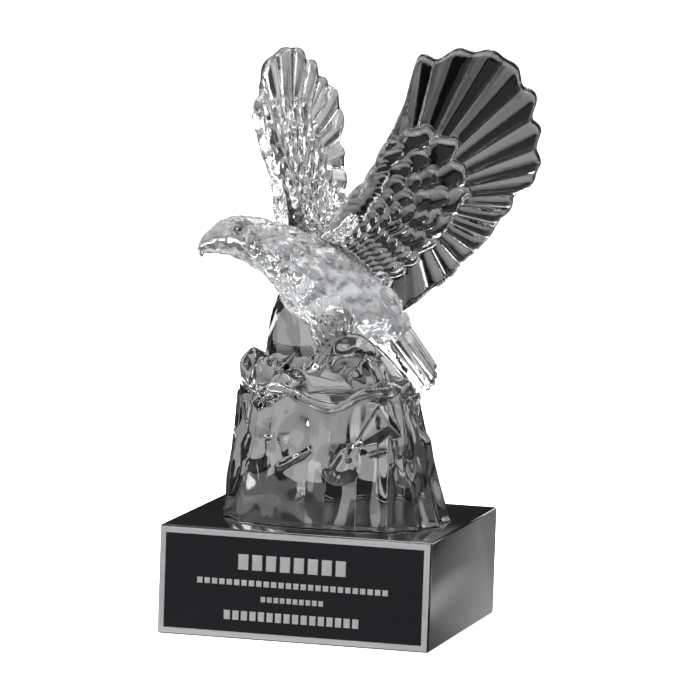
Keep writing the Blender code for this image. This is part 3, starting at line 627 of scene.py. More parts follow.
rockSettings = {
    # foot (X, Y), top (X, Y, Z), hollow beside the ridge
    "cliff": (
        ((-34.0, -38.5), (-29.0, -31.5, 50.0), 0.9),
        ((-16.5, -44.5), (-14.0, -34.0, 58.0), 0.8),
        ((-1.0, -46.5), (-2.0, -39.5, 55.0), 0.6),
        ((7.5, -47.0), (9.0, -41.0, 53.0), 1.4),
        ((23.0, -46.5), (21.0, -35.0, 59.0), 2.0),
        ((38.0, -44.0), (33.5, -33.0, 56.0), 2.6),
        ((49.0, -33.5), (36.5, -24.0, 61.0), 3.2),
        ((54.5, -14.0), (40.5, -12.0, 57.0), 3.0),
        ((54.5, 5.0), (39.5, 3.0, 59.0), 2.8),
        ((48.5, 24.0), (35.5, 16.0, 56.0), 1.2),
        ((36.0, 38.0), (26.0, 26.0, 53.0), 0.9),
        ((16.0, 45.0), (12.0, 32.0, 58.0), 0.9),
        ((-6.0, 44.0), (-5.0, 33.0, 55.0), 0.9),
        ((-26.0, 45.0), (-22.0, 30.0, 60.0), 0.9),
        ((-42.0, 34.0), (-36.0, 24.0, 55.0), 1.4),
        ((-49.5, 14.0), (-43.5, 10.0, 60.0), 2.8),
        ((-50.0, -8.0), (-45.5, -6.0, 56.0), 2.6),
        ((-44.5, -26.0), (-39.5, -21.0, 54.0), 2.0),
    ),
    # broad chips: place, radius, depth
    "chips": (
        ((42.0, 0.0, 47.0), 11.0, 3.0),
        ((-30.0, -36.0, 33.0), 12.0, 1.6),
        ((-8.0, -42.0, 40.0), 13.0, 1.8),
        ((14.0, -44.0, 30.0), 11.0, 2.2),
        ((45.0, -30.0, 30.0), 12.0, 2.4),
        ((-47.0, 6.0, 28.0), 14.0, 2.4),
        ((10.0, 38.0, 34.0), 16.0, 3.0),
        ((-30.0, 36.0, 22.0), 15.0, 2.6),
    ),
    # narrow gouges in the front: from, to, half width, depth
    "gouges": (
        ((-15.5, -42.0, 26.0), (-1.0, -41.0, 35.0), 1.5, 2.0),
        ((9.0, -41.0, 27.0), (14.0, -42.0, 36.0), 1.8, 2.2),
        ((17.0, -42.0, 32.0), (20.0, -43.0, 37.0), 1.8, 2.0),
        ((-24.0, -41.0, 38.0), (-21.0, -41.0, 38.5), 1.2, 1.4),
        ((-5.0, -44.0, 13.0), (-3.0, -44.0, 14.5), 0.9, 1.2),
        ((27.0, -42.0, 34.0), (33.0, -40.0, 36.0), 1.3, 1.8),
        ((13.0, -45.0, 22.0), (13.2, -45.0, 22.3), 1.3, 1.5),
    ),
    "gougesTo": -25.0,
    "lipHeight": 0.8,
    "lipReach": 0.7,
    "crown": (0.0, 0.0, 57.0),
    # the stump behind the bird: height, left, right, front, back
    "column": (
        (44.0, -38.0, 38.0, -24.0, 32.0),
        (56.0, -36.5, 36.5, -22.0, 29.0),
        (62.0, -35.5, 33.5, -20.0, 26.0),
        (70.0, -34.5, 27.0, -18.0, 22.0),
        (78.0, -33.5, 19.0, -16.0, 18.0),
        (86.0, -32.5, 10.0, -14.0, 15.0),
        (94.0, -31.0, 2.0, -12.0, 12.0),
        (102.0, -28.0, -8.0, -8.0, 8.0),
    ),
    "columnFlutes": 7,
    "columnFluteDepth": 0.8,
    # the ledge's rounded brim: X, Y, Z, radius
    "brim": (
        (-31.0, -28.0, 60.0, 2.0), (-24.0, -32.0, 61.0, 2.3), (-14.0, -35.0, 60.5, 2.2),
        (-4.0, -38.5, 57.5, 2.0), (8.5, -41.0, 54.8, 2.2), (15.0, -38.5, 58.0, 1.9),
        (21.5, -35.5, 61.5, 2.2), (33.0, -27.5, 62.5, 2.4),
    ),
    # place, radii
    "boulders": (
        ((-36.5, -6.0, 64.0), (7.5, 9.0, 11.5)),
        ((-29.5, -18.0, 64.0), (7.0, 8.0, 11.0)),
        ((-38.0, 8.0, 58.0), (8.0, 11.0, 13.0)),
        ((-16.0, -24.0, 61.0), (8.5, 9.0, 8.0)),
        ((10.5, -13.0, 74.5), (11.0, 9.0, 11.5)),
        ((20.0, -17.0, 66.0), (8.5, 8.0, 10.0)),
        ((31.0, -10.0, 60.0), (8.0, 11.0, 7.0)),
        ((-24.0, 20.0, 63.0), (11.0, 9.0, 10.0)),
        ((0.0, 23.0, 62.0), (12.0, 9.0, 12.0)),
        ((22.0, 18.0, 58.0), (11.0, 9.0, 9.0)),
    ),
    # corners of the flat-sided splinters
    "shards": (
        ((-15.0, -34.5, 60.0), (8.5, -41.0, 54.0), (21.5, -35.5, 61.0), (33.0, -27.0, 62.0),
         (9.0, -40.0, 50.0), (-2.0, -20.0, 60.0), (24.0, -18.0, 61.5)),
        ((19.0, -45.4, 37.0), (29.5, -38.0, 57.5), (36.0, -39.5, 48.5), (30.0, -28.0, 40.0),
         (40.0, -30.0, 42.0), (33.0, -24.0, 56.0)),
        ((-25.0, -24.0, 64.0), (-27.0, -15.0, 70.0), (-20.0, -16.0, 64.0), (-13.0, -21.5, 77.5),
         (-22.0, -22.0, 72.0)),
        ((-43.0, -10.0, 44.0), (-41.0, -20.0, 61.0), (-34.0, -26.0, 58.0), (-35.0, -27.0, 44.0),
         (-30.0, -10.0, 52.0)),
    ),
}


def carved(point, inward):  # a point of the cliff, sunk by the chips and by the gouges in the front
    for place, radius, depth in rockSettings["chips"]:
        nearness = max(1.0 - np.linalg.norm(point - np.array(place)) / radius, 0.0)
        if nearness > 0.0:
            point = point + inward * (depth * float(easeIn(nearness * 1.6)))
    for start, end, halfWidth, depth in rockSettings["gouges"]:
        if point[1] > rockSettings["gougesTo"]:
            break
        a, b = np.array(start)[[0, 2]], np.array(end)[[0, 2]]
        flat = point[[0, 2]]
        u = min(max((flat - a).dot(b - a) / (b - a).dot(b - a), 0.0), 1.0)
        away = np.linalg.norm(flat - a - u * (b - a))
        if away < halfWidth * 2.0:
            point = point + inward * (depth * math.exp(-(away / halfWidth) ** 2 * 1.6))
    return point


def addCliff(shape):
    s = rockSettings
    levels, perRidge = 110, 26
    rings = []
    for level in range(-2, levels + 1):
        share = max(level, 0) / levels
        ring = []
        for k, (foot, top, sag) in enumerate(s["cliff"]):
            nextFoot, nextTop, _ = s["cliff"][(k + 1) % len(s["cliff"])]
            ends = []
            for low, high in ((foot, top), (nextFoot, nextTop)):
                wander = 1.1 * waver(low[0] * 0.3, low[1] * 0.3, share * 3.2)
                out = np.array([low[0], low[1], 0.0])
                out /= np.linalg.norm(out)
                ends.append(mixed(np.array([low[0], low[1], 0.0]), np.array(high), share) + out * wander)
            run = ends[1] - ends[0]
            inward = np.array([-run[1], run[0], 0.0])
            inward /= np.linalg.norm(inward)
            depth = sag * (0.75 + 0.5 * waver(k * 1.7, 3.0, share * 4.0))
            for i in range(perRidge):
                t = i / perRidge
                point = ends[0] + run * t + inward * (depth * math.sin(math.pi * t))
                point = point + inward * 0.3 * waver(point[0] * 0.12, point[1] * 0.12, point[2] * 0.05, 4.0)
                if level < 3:
                    outward = np.array([point[0], point[1], 0.0])
                    outward /= np.linalg.norm(outward)
                    flare = s["lipReach"] * (1.0 if level < 2 else 0.35)
                    point = point + outward * flare
                    point[2] = (-2.0, -1.8, 0.0, s["lipHeight"], s["lipHeight"] + 0.5)[level + 2]
                else:
                    point = carved(point, inward)
                ring.append(point)
        rings.append(ring)
    crown = np.array(s["crown"])
    rings.append([mixed(p, crown, 0.45) + np.array([0.0, 0.0, 1.5]) for p in rings[-1]])
    shape.loft(rings)


def addColumn(shape):
    s = rockSettings
    rings = []
    sides = 220
    for height, left, right, front, back in smoothStations(s["column"], 90):
        ring = []
        for k in range(sides):
            angle = math.tau * k / sides
            drift = 0.5 * waver(math.cos(angle), math.sin(angle), height / 30.0)
            hollow = s["columnFluteDepth"] * abs(math.sin(s["columnFlutes"] / 2.0 * (angle + drift)))
            hollow += 0.4 * waver(math.cos(angle) * 2.0, math.sin(angle) * 2.0, height / 18.0, 2.0)
            square = (abs(math.cos(angle)) ** 2.5 + abs(math.sin(angle)) ** 2.5) ** (-1.0 / 2.5)
            ring.append((
                (left + right) / 2.0 + ((right - left) / 2.0 * square - hollow) * math.cos(angle),
                (front + back) / 2.0 + ((back - front) / 2.0 * square - hollow) * math.sin(angle),
                height,
            ))
        rings.append(ring)
    shape.loft(rings)


# The cast: all forms fused, polished and ground flat underneath

castSettings = {
    # clouded glass, partly the cast's frosted texture and partly painted sparkle, white patches that stand in
    # for glints:
    # how far round the head's and body's sections, scale of its patches, and from which value it is the denser
    # kind, at the given height and falling with it
    "paintedSparkleSatinReach": 1.06,
    "paintedSparkleSatinPatch": 0.32,
    "paintedSparkleSatinLeast": -0.12,
    "paintedSparkleSatinRise": 4.0,
    "paintedSparkleSatinFall": 15.0,
    "voxel": 0.42,
    "polishBefore": 6,
    "polishAfter": 1,
    "mostTriangles": 192000,
    "inset": 0.05,
}


def runModifiers(thing):
    bpy.context.view_layer.update()
    view = bpy.context.evaluated_depsgraph_get()
    made = bpy.data.meshes.new_from_object(thing.evaluated_get(view))
    thing.modifiers.clear()
    old = thing.data
    thing.data = made
    bpy.data.meshes.remove(old)


def placePaintedSparkleSatin(mesh, lift):  # gives the head's and body's faces one of the two clouded materials, whose white patches are painted sparkle
    b, h = bodySettings, headSettings
    centres, reaches = [], []
    for topBack, topUp, lowBack, lowUp, halfWidth in smoothStations(b["sections"], 24):
        centres.append(inBody((lowBack + topBack) / 2.0, 0.0, (lowUp + topUp) / 2.0))
        reaches.append(halfWidth)
    for back, up, halfHeight, halfWidth in smoothStations(h["sections"], 24):
        centres.append(inHead(back, 0.0, up))
        reaches.append(halfHeight)
    where = np.empty(len(mesh.polygons) * 3)
    mesh.polygons.foreach_get("center", where)
    where = where.reshape(-1, 3) / mm - np.array([0.0, 0.0, lift / mm])
    near = np.full(len(where), 9.0)
    for centre, reach in zip(centres, reaches):
        near = np.minimum(near, np.linalg.norm(where - centre, axis=1) / reach)
    # the cheek, throat, nostril and eye stay clear, darker than the painted sparkle round them
    for back, out, up, radius in (*h["clearPatches"], (*h["eye"], h["eyeClear"])):
        for side in (-1.0, 1.0):
            near[np.linalg.norm(where - inHead(back, side * out, up), axis=1) < radius] = 9.0
    x, y, z = (where * castSettings["paintedSparkleSatinPatch"]).T
    patch = np.sin(1.7 * x + 2.1 * np.sin(y + 0.4)) * np.sin(1.9 * z + 1.3 * np.sin(1.6 * x + 1.1))
    patch += 0.3 * np.sin(5.3 * z + 4.1 * x)
    kind = np.empty(len(where), int)
    mesh.polygons.foreach_get("material_index", kind)
    # faces of the clouded glass: partly frosted texture, partly painted sparkle that stands in for glints
    paintedSparkleFaces = (near < castSettings["paintedSparkleSatinReach"]) & (kind == 0)
    bias = (where[paintedSparkleFaces, 2] - b["centre"][2] - castSettings["paintedSparkleSatinRise"]) / castSettings["paintedSparkleSatinFall"]
    kind[paintedSparkleFaces] = np.where(patch[paintedSparkleFaces] > castSettings["paintedSparkleSatinLeast"] + bias, 2, 3)
    mesh.polygons.foreach_set("material_index", kind)


def makeCrystal():
    low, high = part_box("crystal_eagle")
    shape = Shape()
    addCliff(shape)
    addColumn(shape)
    for seed, (place, radii) in enumerate(rockSettings["boulders"]):
        shape.ball(place, radii, 0.30, seed)
    for corners in rockSettings["shards"]:
        shape.hull(corners)
    brim = smoothStations(rockSettings["brim"], 70)
    shape.rod([(p[:3], p[3] + 0.25 * math.sin(i * 0.55)) for i, p in enumerate(brim)], 24)
    print("rock formed")
    addBody(shape)
    addHead(shape)
    addLegs(shape)
    addTail(shape)
    print("body formed")
    addWing(shape, nearWing)
    addWing(shape, farWing)
    print("wings formed")
    crystal = makeObject("crystalEagle", shape.mesh("crystalEagle", low.z))
    fuse = crystal.modifiers.new("fuse", "REMESH")
    fuse.mode = "VOXEL"
    fuse.voxel_size = castSettings["voxel"] * mm
    runModifiers(crystal)
    triangles = len(crystal.data.polygons) * 2
    print("fused:", triangles, "triangles")
    polish = crystal.modifiers.new("polish", "SMOOTH")
    polish.iterations = castSettings["polishBefore"]
    thin = crystal.modifiers.new("thin", "DECIMATE")
    thin.ratio = min(castSettings["mostTriangles"] / triangles, 1.0)
    finish = crystal.modifiers.new("finish", "SMOOTH")
    finish.iterations = castSettings["polishAfter"]
    runModifiers(crystal)
    cut = bmesh.new()
    cut.from_mesh(crystal.data)
    bmesh.ops.bisect_plane(cut, geom=cut.verts[:] + cut.edges[:] + cut.faces[:], plane_co=(0.0, 0.0, low.z),
                           plane_no=(0.0, 0.0, -1.0), clear_outer=True)
    bmesh.ops.triangle_fill(cut, edges=[e for e in cut.edges if e.is_boundary], use_beauty=True)
    bmesh.ops.triangulate(cut, faces=cut.faces)
    bmesh.ops.recalc_face_normals(cut, faces=cut.faces)
    inset = castSettings["inset"] * mm
    for axis in range(3):  # drawn in to the solid's own box
        places = [v.co[axis] for v in cut.verts]
        least, most = min(places), max(places)
        newLeast, newMost = max(least, low[axis] + inset * (axis < 2)), min(most, high[axis] - inset)
        for v in cut.verts:
            v.co[axis] = mixed(newLeast, newMost, (v.co[axis] - least) / (most - least))
    for f in cut.faces:  # the flat underside takes the second material
        flat = f.normal.z < -0.99 and f.calc_center_median().z < low.z + inset
        f.smooth = not flat
        f.material_index = 1 if flat else 0
    for e in cut.edges:
        e.smooth = all(f.smooth for f in e.link_faces)
    cut.to_mesh(crystal.data)
    cut.free()
    placePaintedSparkleSatin(crystal.data, low.z)
    print("cast done:", len(crystal.data.polygons), "triangles")
    return crystal


# Materials

def addMath(tree, operation, first, second):
    node = tree.nodes.new("ShaderNodeMath")
    node.operation = operation
    for socket, value in zip(node.inputs, (first, second)):
        if isinstance(value, (int, float)):
            socket.default_value = value
        else:
            tree.links.new(value, socket)
    return node.outputs[0]


def newMaterial(name):
    made = bpy.data.materials.new(name)
    made.use_nodes = True
    return made, made.node_tree, made.node_tree.nodes["Principled BSDF"]


def setValues(shader, **values):
    for name, value in values.items():
        shader.inputs[name.replace("_", " ")].default_value = value


def noiseNode(tree, scale, detail=4.0, stretch=(1.0, 1.0, 1.0)):
    place = tree.nodes.new("ShaderNodeTexCoord")
    mapping = tree.nodes.new("ShaderNodeMapping")
    mapping.inputs["Scale"].default_value = stretch
    grain = tree.nodes.new("ShaderNodeTexNoise")
    grain.inputs["Scale"].default_value = scale
    grain.inputs["Detail"].default_value = detail
    tree.links.new(place.outputs["Object"], mapping.inputs["Vector"])
    tree.links.new(mapping.outputs["Vector"], grain.inputs["Vector"])
    return grain.outputs["Fac"]


def linkRange(tree, source, socket, low, high):
    node = tree.nodes.new("ShaderNodeMapRange")
    node.inputs["To Min"].default_value = low
    node.inputs["To Max"].default_value = high
    tree.links.new(source, node.inputs["Value"])
    tree.links.new(node.outputs["Result"], socket)


def linkBump(tree, source, shader, strength, distance):
    node = tree.nodes.new("ShaderNodeBump")
    node.inputs["Strength"].default_value = strength
    node.inputs["Distance"].default_value = distance
    tree.links.new(source, node.inputs["Height"])
    tree.links.new(node.outputs["Normal"], shader.inputs["Normal"])


glassSettings = {"ior": 1.50, "roughness": 0.015, "tint": (1.0, 1.0, 1.0, 1.0)}
# clouded glass, partly the cast's frosted texture and partly painted sparkle: its white diffuse share shows as
# white patches that stand in for glints
paintedSparkleSatinSettings = {"ior": 1.50, "roughness": 0.04, "tint": (0.97, 0.985, 1.0, 1.0), "clear": (0.76, 0.93)}
glueSettings = {"colour": (0.008, 0.008, 0.009, 1.0), "roughness": 0.35, "specular": 0.12}
lacquerSettings = {
    "colour": (0.006, 0.006, 0.007, 1.0),
    "coat": 0.6,
    "coatRoughness": 0.05,
    "roughness": (0.08, 0.16),
    "hazeScale": 35.0,
    "peelScale": 260.0,
    "peel": 0.03,
}
metalSettings = {
    "colour": (0.86, 0.86, 0.87, 1.0),
    "anisotropic": 0.4,
    "roughness": (0.30, 0.50),
    "brushScale": 900.0,
    "brushStretch": (0.04, 1.0, 1.0),
    "brush": 0.08,
}
fieldSettings = {
    "colour": (0.006, 0.006, 0.007, 1.0),
    "specular": 0.15,
    "roughness": (0.26, 0.38),
    "hazeScale": 120.0,
}


def glassMaterial(name, settings, clear):
    made, _, shader = newMaterial(name)
    setValues(shader, Base_Color=settings["tint"], Roughness=settings["roughness"], IOR=settings["ior"],
              Transmission_Weight=clear)
    return made


def glueMaterial():
    made, _, shader = newMaterial("darkGlue")
    s = glueSettings
    setValues(shader, Base_Color=s["colour"], Roughness=s["roughness"], Specular_IOR_Level=s["specular"])
    return made


def lacquerMaterial():
    made, tree, shader = newMaterial("blackLacquer")
    s = lacquerSettings
    setValues(shader, Base_Color=s["colour"], Coat_Weight=s["coat"], Coat_Roughness=s["coatRoughness"])
    linkRange(tree, noiseNode(tree, s["hazeScale"], 5.0), shader.inputs["Roughness"], *s["roughness"])
    linkBump(tree, noiseNode(tree, s["peelScale"], 2.0), shader, s["peel"], 0.0002)
    return made


def plaqueMetalMaterial():
    made, tree, shader = newMaterial("brushedPlaqueMetal")
    s = metalSettings
    setValues(shader, Base_Color=s["colour"], Metallic=1.0, Anisotropic=s["anisotropic"])
    brush = noiseNode(tree, s["brushScale"], 3.0, s["brushStretch"])
    linkRange(tree, brush, shader.inputs["Roughness"], *s["roughness"])
    linkBump(tree, brush, shader, s["brush"], 0.0001)
    return made


def plaqueFieldMaterial():
    made, tree, shader = newMaterial("blackEnamelField")
    s = fieldSettings
    setValues(shader, Base_Color=s["colour"], Specular_IOR_Level=s["specular"])
    linkRange(tree, noiseNode(tree, s["hazeScale"], 4.0), shader.inputs["Roughness"], *s["roughness"])
    return made


# Base block

baseSettings = {"edge": 1.0, "segments": 6, "sharpFrom": 40.0}


def boxShape(low, high):  # a plain block that fills the given box
    shape = bmesh.new()
    made = bmesh.ops.create_cube(shape, size=1.0)
    size, middle = high - low, (high + low) / 2.0
    stretch = Matrix.Translation(middle) @ Matrix.Diagonal((*size, 1.0))
    bmesh.ops.transform(shape, matrix=stretch, verts=made["verts"])
    return shape


def finishShape(shape, name):
    mesh = bpy.data.meshes.new(name)
    shape.to_mesh(mesh)
    shape.free()
    return makeObject(name, mesh)


def makeBase(material):
    base = finishShape(boxShape(*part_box("base_block")), "baseBlock")
    base.data.materials.append(material)
    edge = base.modifiers.new("edge", "BEVEL")
    edge.width = baseSettings["edge"] * mm
    edge.segments = baseSettings["segments"]
    edge.harden_normals = True
    runModifiers(base)
    base.data.shade_smooth()
    base.data.set_sharp_from_angle(angle=math.radians(baseSettings["sharpFrom"]))
    return base


# Plaque: bordered plate, and rows of strokes laid out by a node tree

plaqueSettings = {
    "border": 3.6,
    "edge": 0.12,
    "fieldDepth": 0.4,
    # rows of strokes: height above the middle, stroke height, strokes, row length
    "rows": ((10.5, 7.0, 8, 52.0), (1.0, 2.6, 26, 90.0), (-6.0, 2.4, 10, 30.0), (-14.0, 4.2, 16, 64.0)),
    "gapShare": 0.28,
    "relief": 0.4,
    "standOff": 0.19,
    "bevel": 0.1,
}


def makePlaque(metal, field):
    low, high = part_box("plaque")
    border, edge = plaqueSettings["border"] * mm, plaqueSettings["edge"] * mm
    fieldY = low.y + plaqueSettings["fieldDepth"] * mm
    shape = boxShape(low, high)
    face = min(shape.faces, key=lambda f: f.calc_center_median().y)
    for thickness, y in ((edge, low.y), (border - 2.0 * edge, low.y), (edge, fieldY)):
        bmesh.ops.inset_region(shape, faces=[face], thickness=thickness)
        for v in face.verts:
            v.co.y = y
    face.material_index = 1
    plate = finishShape(shape, "plaquePlate")
    plate.data.materials.append(metal)
    plate.data.materials.append(field)
    return plate, fieldY, (low.z + high.z) / 2.0


def strokeTree(metal):  # one row of upright strokes
    tree = bpy.data.node_groups.new("strokeRow", "GeometryNodeTree")
    numbers = [(name, "NodeSocketFloat") for name in ("Row Length", "Stroke Height", "Stroke Width", "Relief")]
    for name, kind in (("Strokes", "NodeSocketInt"), *numbers, ("Row Place", "NodeSocketVector")):
        tree.interface.new_socket(name, in_out="INPUT", socket_type=kind)
    tree.interface.new_socket("Geometry", in_out="OUTPUT", socket_type="NodeSocketGeometry")
    add = tree.nodes.new
    given, result = add("NodeGroupInput").outputs, add("NodeGroupOutput")
    parts = ("MeshLine", "MeshCube", "InstanceOnPoints", "Transform", "RealizeInstances", "SetMaterial")
    line, cube, put, move, real, paint = (add("GeometryNode" + part) for part in parts)
    start, end, size = (add("ShaderNodeCombineXYZ") for _ in range(3))
    line.mode = "END_POINTS"
    paint.inputs["Material"].default_value = metal
    for source, target in (
        (addMath(tree, "MULTIPLY", given["Row Length"], -0.5), start.inputs["X"]),
        (addMath(tree, "MULTIPLY", given["Row Length"], 0.5), end.inputs["X"]),
        (given["Strokes"], line.inputs["Count"]),
        (start.outputs[0], line.inputs["Start Location"]),
        (end.outputs[0], line.inputs["Offset"]),
        (given["Stroke Width"], size.inputs["X"]),
        (given["Relief"], size.inputs["Y"]),
        (given["Stroke Height"], size.inputs["Z"]),
        (size.outputs[0], cube.inputs["Size"]),
        (line.outputs["Mesh"], put.inputs["Points"]),
        (cube.outputs["Mesh"], put.inputs["Instance"]),
        (put.outputs["Instances"], move.inputs["Geometry"]),
        (given["Row Place"], move.inputs["Translation"]),
        (move.outputs["Geometry"], real.inputs["Geometry"]),
        (real.outputs["Geometry"], paint.inputs["Geometry"]),
        (paint.outputs["Geometry"], result.inputs["Geometry"]),
    ):
        tree.links.new(source, target)
    return tree


def makeStrokes(metal, fieldY, middleZ):
    s = plaqueSettings
    tree = strokeTree(metal)
    sockets = {i.name: i.identifier for i in tree.interface.items_tree if i.in_out == "INPUT"}
    joined = bmesh.new()
    for rise, height, count, length in s["rows"]:
        pitch = length / count
        row = makeObject("strokeRow", bpy.data.meshes.new("strokeRow"))
        layout = row.modifiers.new("row", "NODES")
        layout.node_group = tree
        values = {
            "Strokes": count,
            "Row Length": (length - pitch) * mm,
            "Stroke Height": height * mm,
            "Stroke Width": pitch * (1.0 - s["gapShare"]) * mm,
            "Relief": s["relief"] * mm,
            "Row Place": (-pitch * s["gapShare"] / 2.0 * mm, fieldY - s["standOff"] * mm, middleZ + rise * mm),
        }
        for name, value in values.items():
            layout[sockets[name]] = value
        runModifiers(row)
        joined.from_mesh(row.data)
        bpy.data.objects.remove(row)
    outer = [e for e in joined.edges if all(v.co.y < fieldY - 0.3 * mm for v in e.verts)]
    bmesh.ops.bevel(joined, geom=outer, offset=s["bevel"] * mm, segments=2, affect="EDGES")
    for f in joined.faces:
        f.material_index = 0
    strokes = finishShape(joined, "plaqueStrokes")
    strokes.data.materials.append(metal)
    return strokes


# Floor, light and surroundings

studioSettings = {
    "floorReach": 6.0,
    "floorColour": (0.90, 0.90, 0.90, 1.0),
    "backdrop": (1.0, 1.0, 1.0),
    "tint": (0.985, 0.993, 1.0, 1.0),
    # what the glass sees: the room's brightness by height in degrees
    "room": ((-90.0, 0.02), (18.0, 0.02), (24.0, 0.3), (42.0, 0.8), (72.0, 1.1), (80.0, 3.0)),
    # panels in it: degrees to the left of the view, half width, lowest, highest and brightness
    "panels": {
        "frontRoom": (-150.0, 100.0, -90.0, 4.0, 0.65),
        "leftBox": (130.0, 40.0, 4.0, 12.0, 2.0),
        "leftStrip": (160.0, 10.0, 4.0, 30.0, 3.5),
        "rightBox": (-90.0, 45.0, 8.0, 20.0, 1.0),
        "rightStrip": (-65.0, 15.0, 12.0, 42.0, 2.2),
        "rightSlit": (-40.0, 10.0, 20.0, 30.0, 4.0),
        "leftSlit": (20.0, 10.0, 20.0, 30.0, 2.5),
        "lowSlit": (-20.0, 10.0, -90.0, 4.0, 1.7),
        "highBox": (180.0, 30.0, 42.0, 56.0, 2.5),
    },
    "panelEdge": 1.0,
    # and its floor: distance behind the piece, brightness on the left, in the middle and on the right
    "floor": (
        (-0.6, 0.3, 0.6, 0.7),
        (-0.15, 0.0, 0.0, 0.9),
        (0.0, 0.0, 0.5, 1.4),
        (0.2, 0.0, 0.3, 0.3),
        (0.9, 0.15, 0.2, 0.05),
        (1.8, 0.25, 0.1, 0.1),
        (2.9, 0.0, 0.0, 0.4),
    ),
    "floorSpan": (-1.0, 3.0),
    "floorLift": 0.75,
    # half width of the middle part beside the piece, and how fast it grows with distance
    "stripWidth": 0.13,
    "stripSpread": 0.12,
}


def addRange(tree, source, fromLow, fromHigh, toLow, toHigh):
    node = tree.nodes.new("ShaderNodeMapRange")
    node.interpolation_type = "SMOOTHSTEP"
    for name, value in (("From Min", fromLow), ("From Max", fromHigh), ("To Min", toLow), ("To Max", toHigh)):
        node.inputs[name].default_value = value
    tree.links.new(source, node.inputs["Value"])
    return node.outputs["Result"]


def viewAxes():  # level directions ahead of the camera and to its left
    turn = math.radians(cameraSettings["azimuth"])
    return (-math.sin(turn), math.cos(turn), 0.0), (-math.cos(turn), -math.sin(turn), 0.0)


def addRamp(tree, source, stops):  # brightness by place, read between the stops
    node = tree.nodes.new("ShaderNodeValToRGB")
    ramp = node.color_ramp
    most = max(value for _, value in stops)
    for k, (place, value) in enumerate(stops):
        stop = ramp.elements[k] if k < 2 else ramp.elements.new(place)
        stop.position = place
        stop.color = (value / most, value / most, value / most, 1.0)
    tree.links.new(source, node.inputs["Fac"])
    return addMath(tree, "MULTIPLY", node.outputs["Color"], most)


def addPanel(tree, turn, height, panel):  # a bright rectangle of the room, by its direction
    middle, half, lowest, highest, brightness = panel
    edge = studioSettings["panelEdge"]
    off = addMath(tree, "FRACT", addMath(tree, "ADD", turn, 1.5 - middle / 360.0), 0.0)
    off = addMath(tree, "ABSOLUTE", addMath(tree, "MULTIPLY", addMath(tree, "SUBTRACT", off, 0.5), 360.0), 0.0)
    share = addRange(tree, off, half - edge, half + edge, brightness, 0.0)
    share = addMath(tree, "MULTIPLY", share, addRange(tree, height, lowest - edge, lowest + edge, 0.0, 1.0))
    return addMath(tree, "MULTIPLY", share, addRange(tree, height, highest - edge, highest + edge, 1.0, 0.0))


def addDot(tree, place, direction):
    node = tree.nodes.new("ShaderNodeVectorMath")
    node.operation = "DOT_PRODUCT"
    node.inputs[1].default_value = direction
    tree.links.new(place, node.inputs[0])
    return node.outputs["Value"]


def makeWorld():
    s = studioSettings
    world = bpy.data.worlds.new("studio")
    scene.world = world
    world.use_nodes = True
    tree = world.node_tree
    tree.nodes.clear()
    add, link = tree.nodes.new, tree.links.new
    output, choose, path = (add("ShaderNode" + part) for part in ("OutputWorld", "MixShader", "LightPath"))
    seen, around = add("ShaderNodeBackground"), add("ShaderNodeBackground")
    seen.inputs["Color"].default_value = (*s["backdrop"], 1.0)
    place = add("ShaderNodeTexCoord").outputs["Generated"]
    ahead, left = viewAxes()
    turn = addMath(tree, "ARCTAN2", addDot(tree, place, left), addDot(tree, place, ahead))
    turn = addMath(tree, "DIVIDE", turn, math.tau)
    height = addMath(tree, "ARCSINE", addDot(tree, place, (0.0, 0.0, 1.0)), 0.0)
    height = addMath(tree, "DEGREES", height, 0.0)
    share = addMath(tree, "DIVIDE", addMath(tree, "ADD", height, 90.0), 180.0)
    total = addRamp(tree, share, [((at + 90.0) / 180.0, value) for at, value in s["room"]])
    for panel in s["panels"].values():
        total = addMath(tree, "ADD", total, addPanel(tree, turn, height, panel))
    around.inputs["Color"].default_value = s["tint"]
    link(total, around.inputs["Strength"])
    link(path.outputs["Is Camera Ray"], choose.inputs[0])
    link(around.outputs[0], choose.inputs[1])
    link(seen.outputs[0], choose.inputs[2])
    link(choose.outputs[0], output.inputs["Surface"])


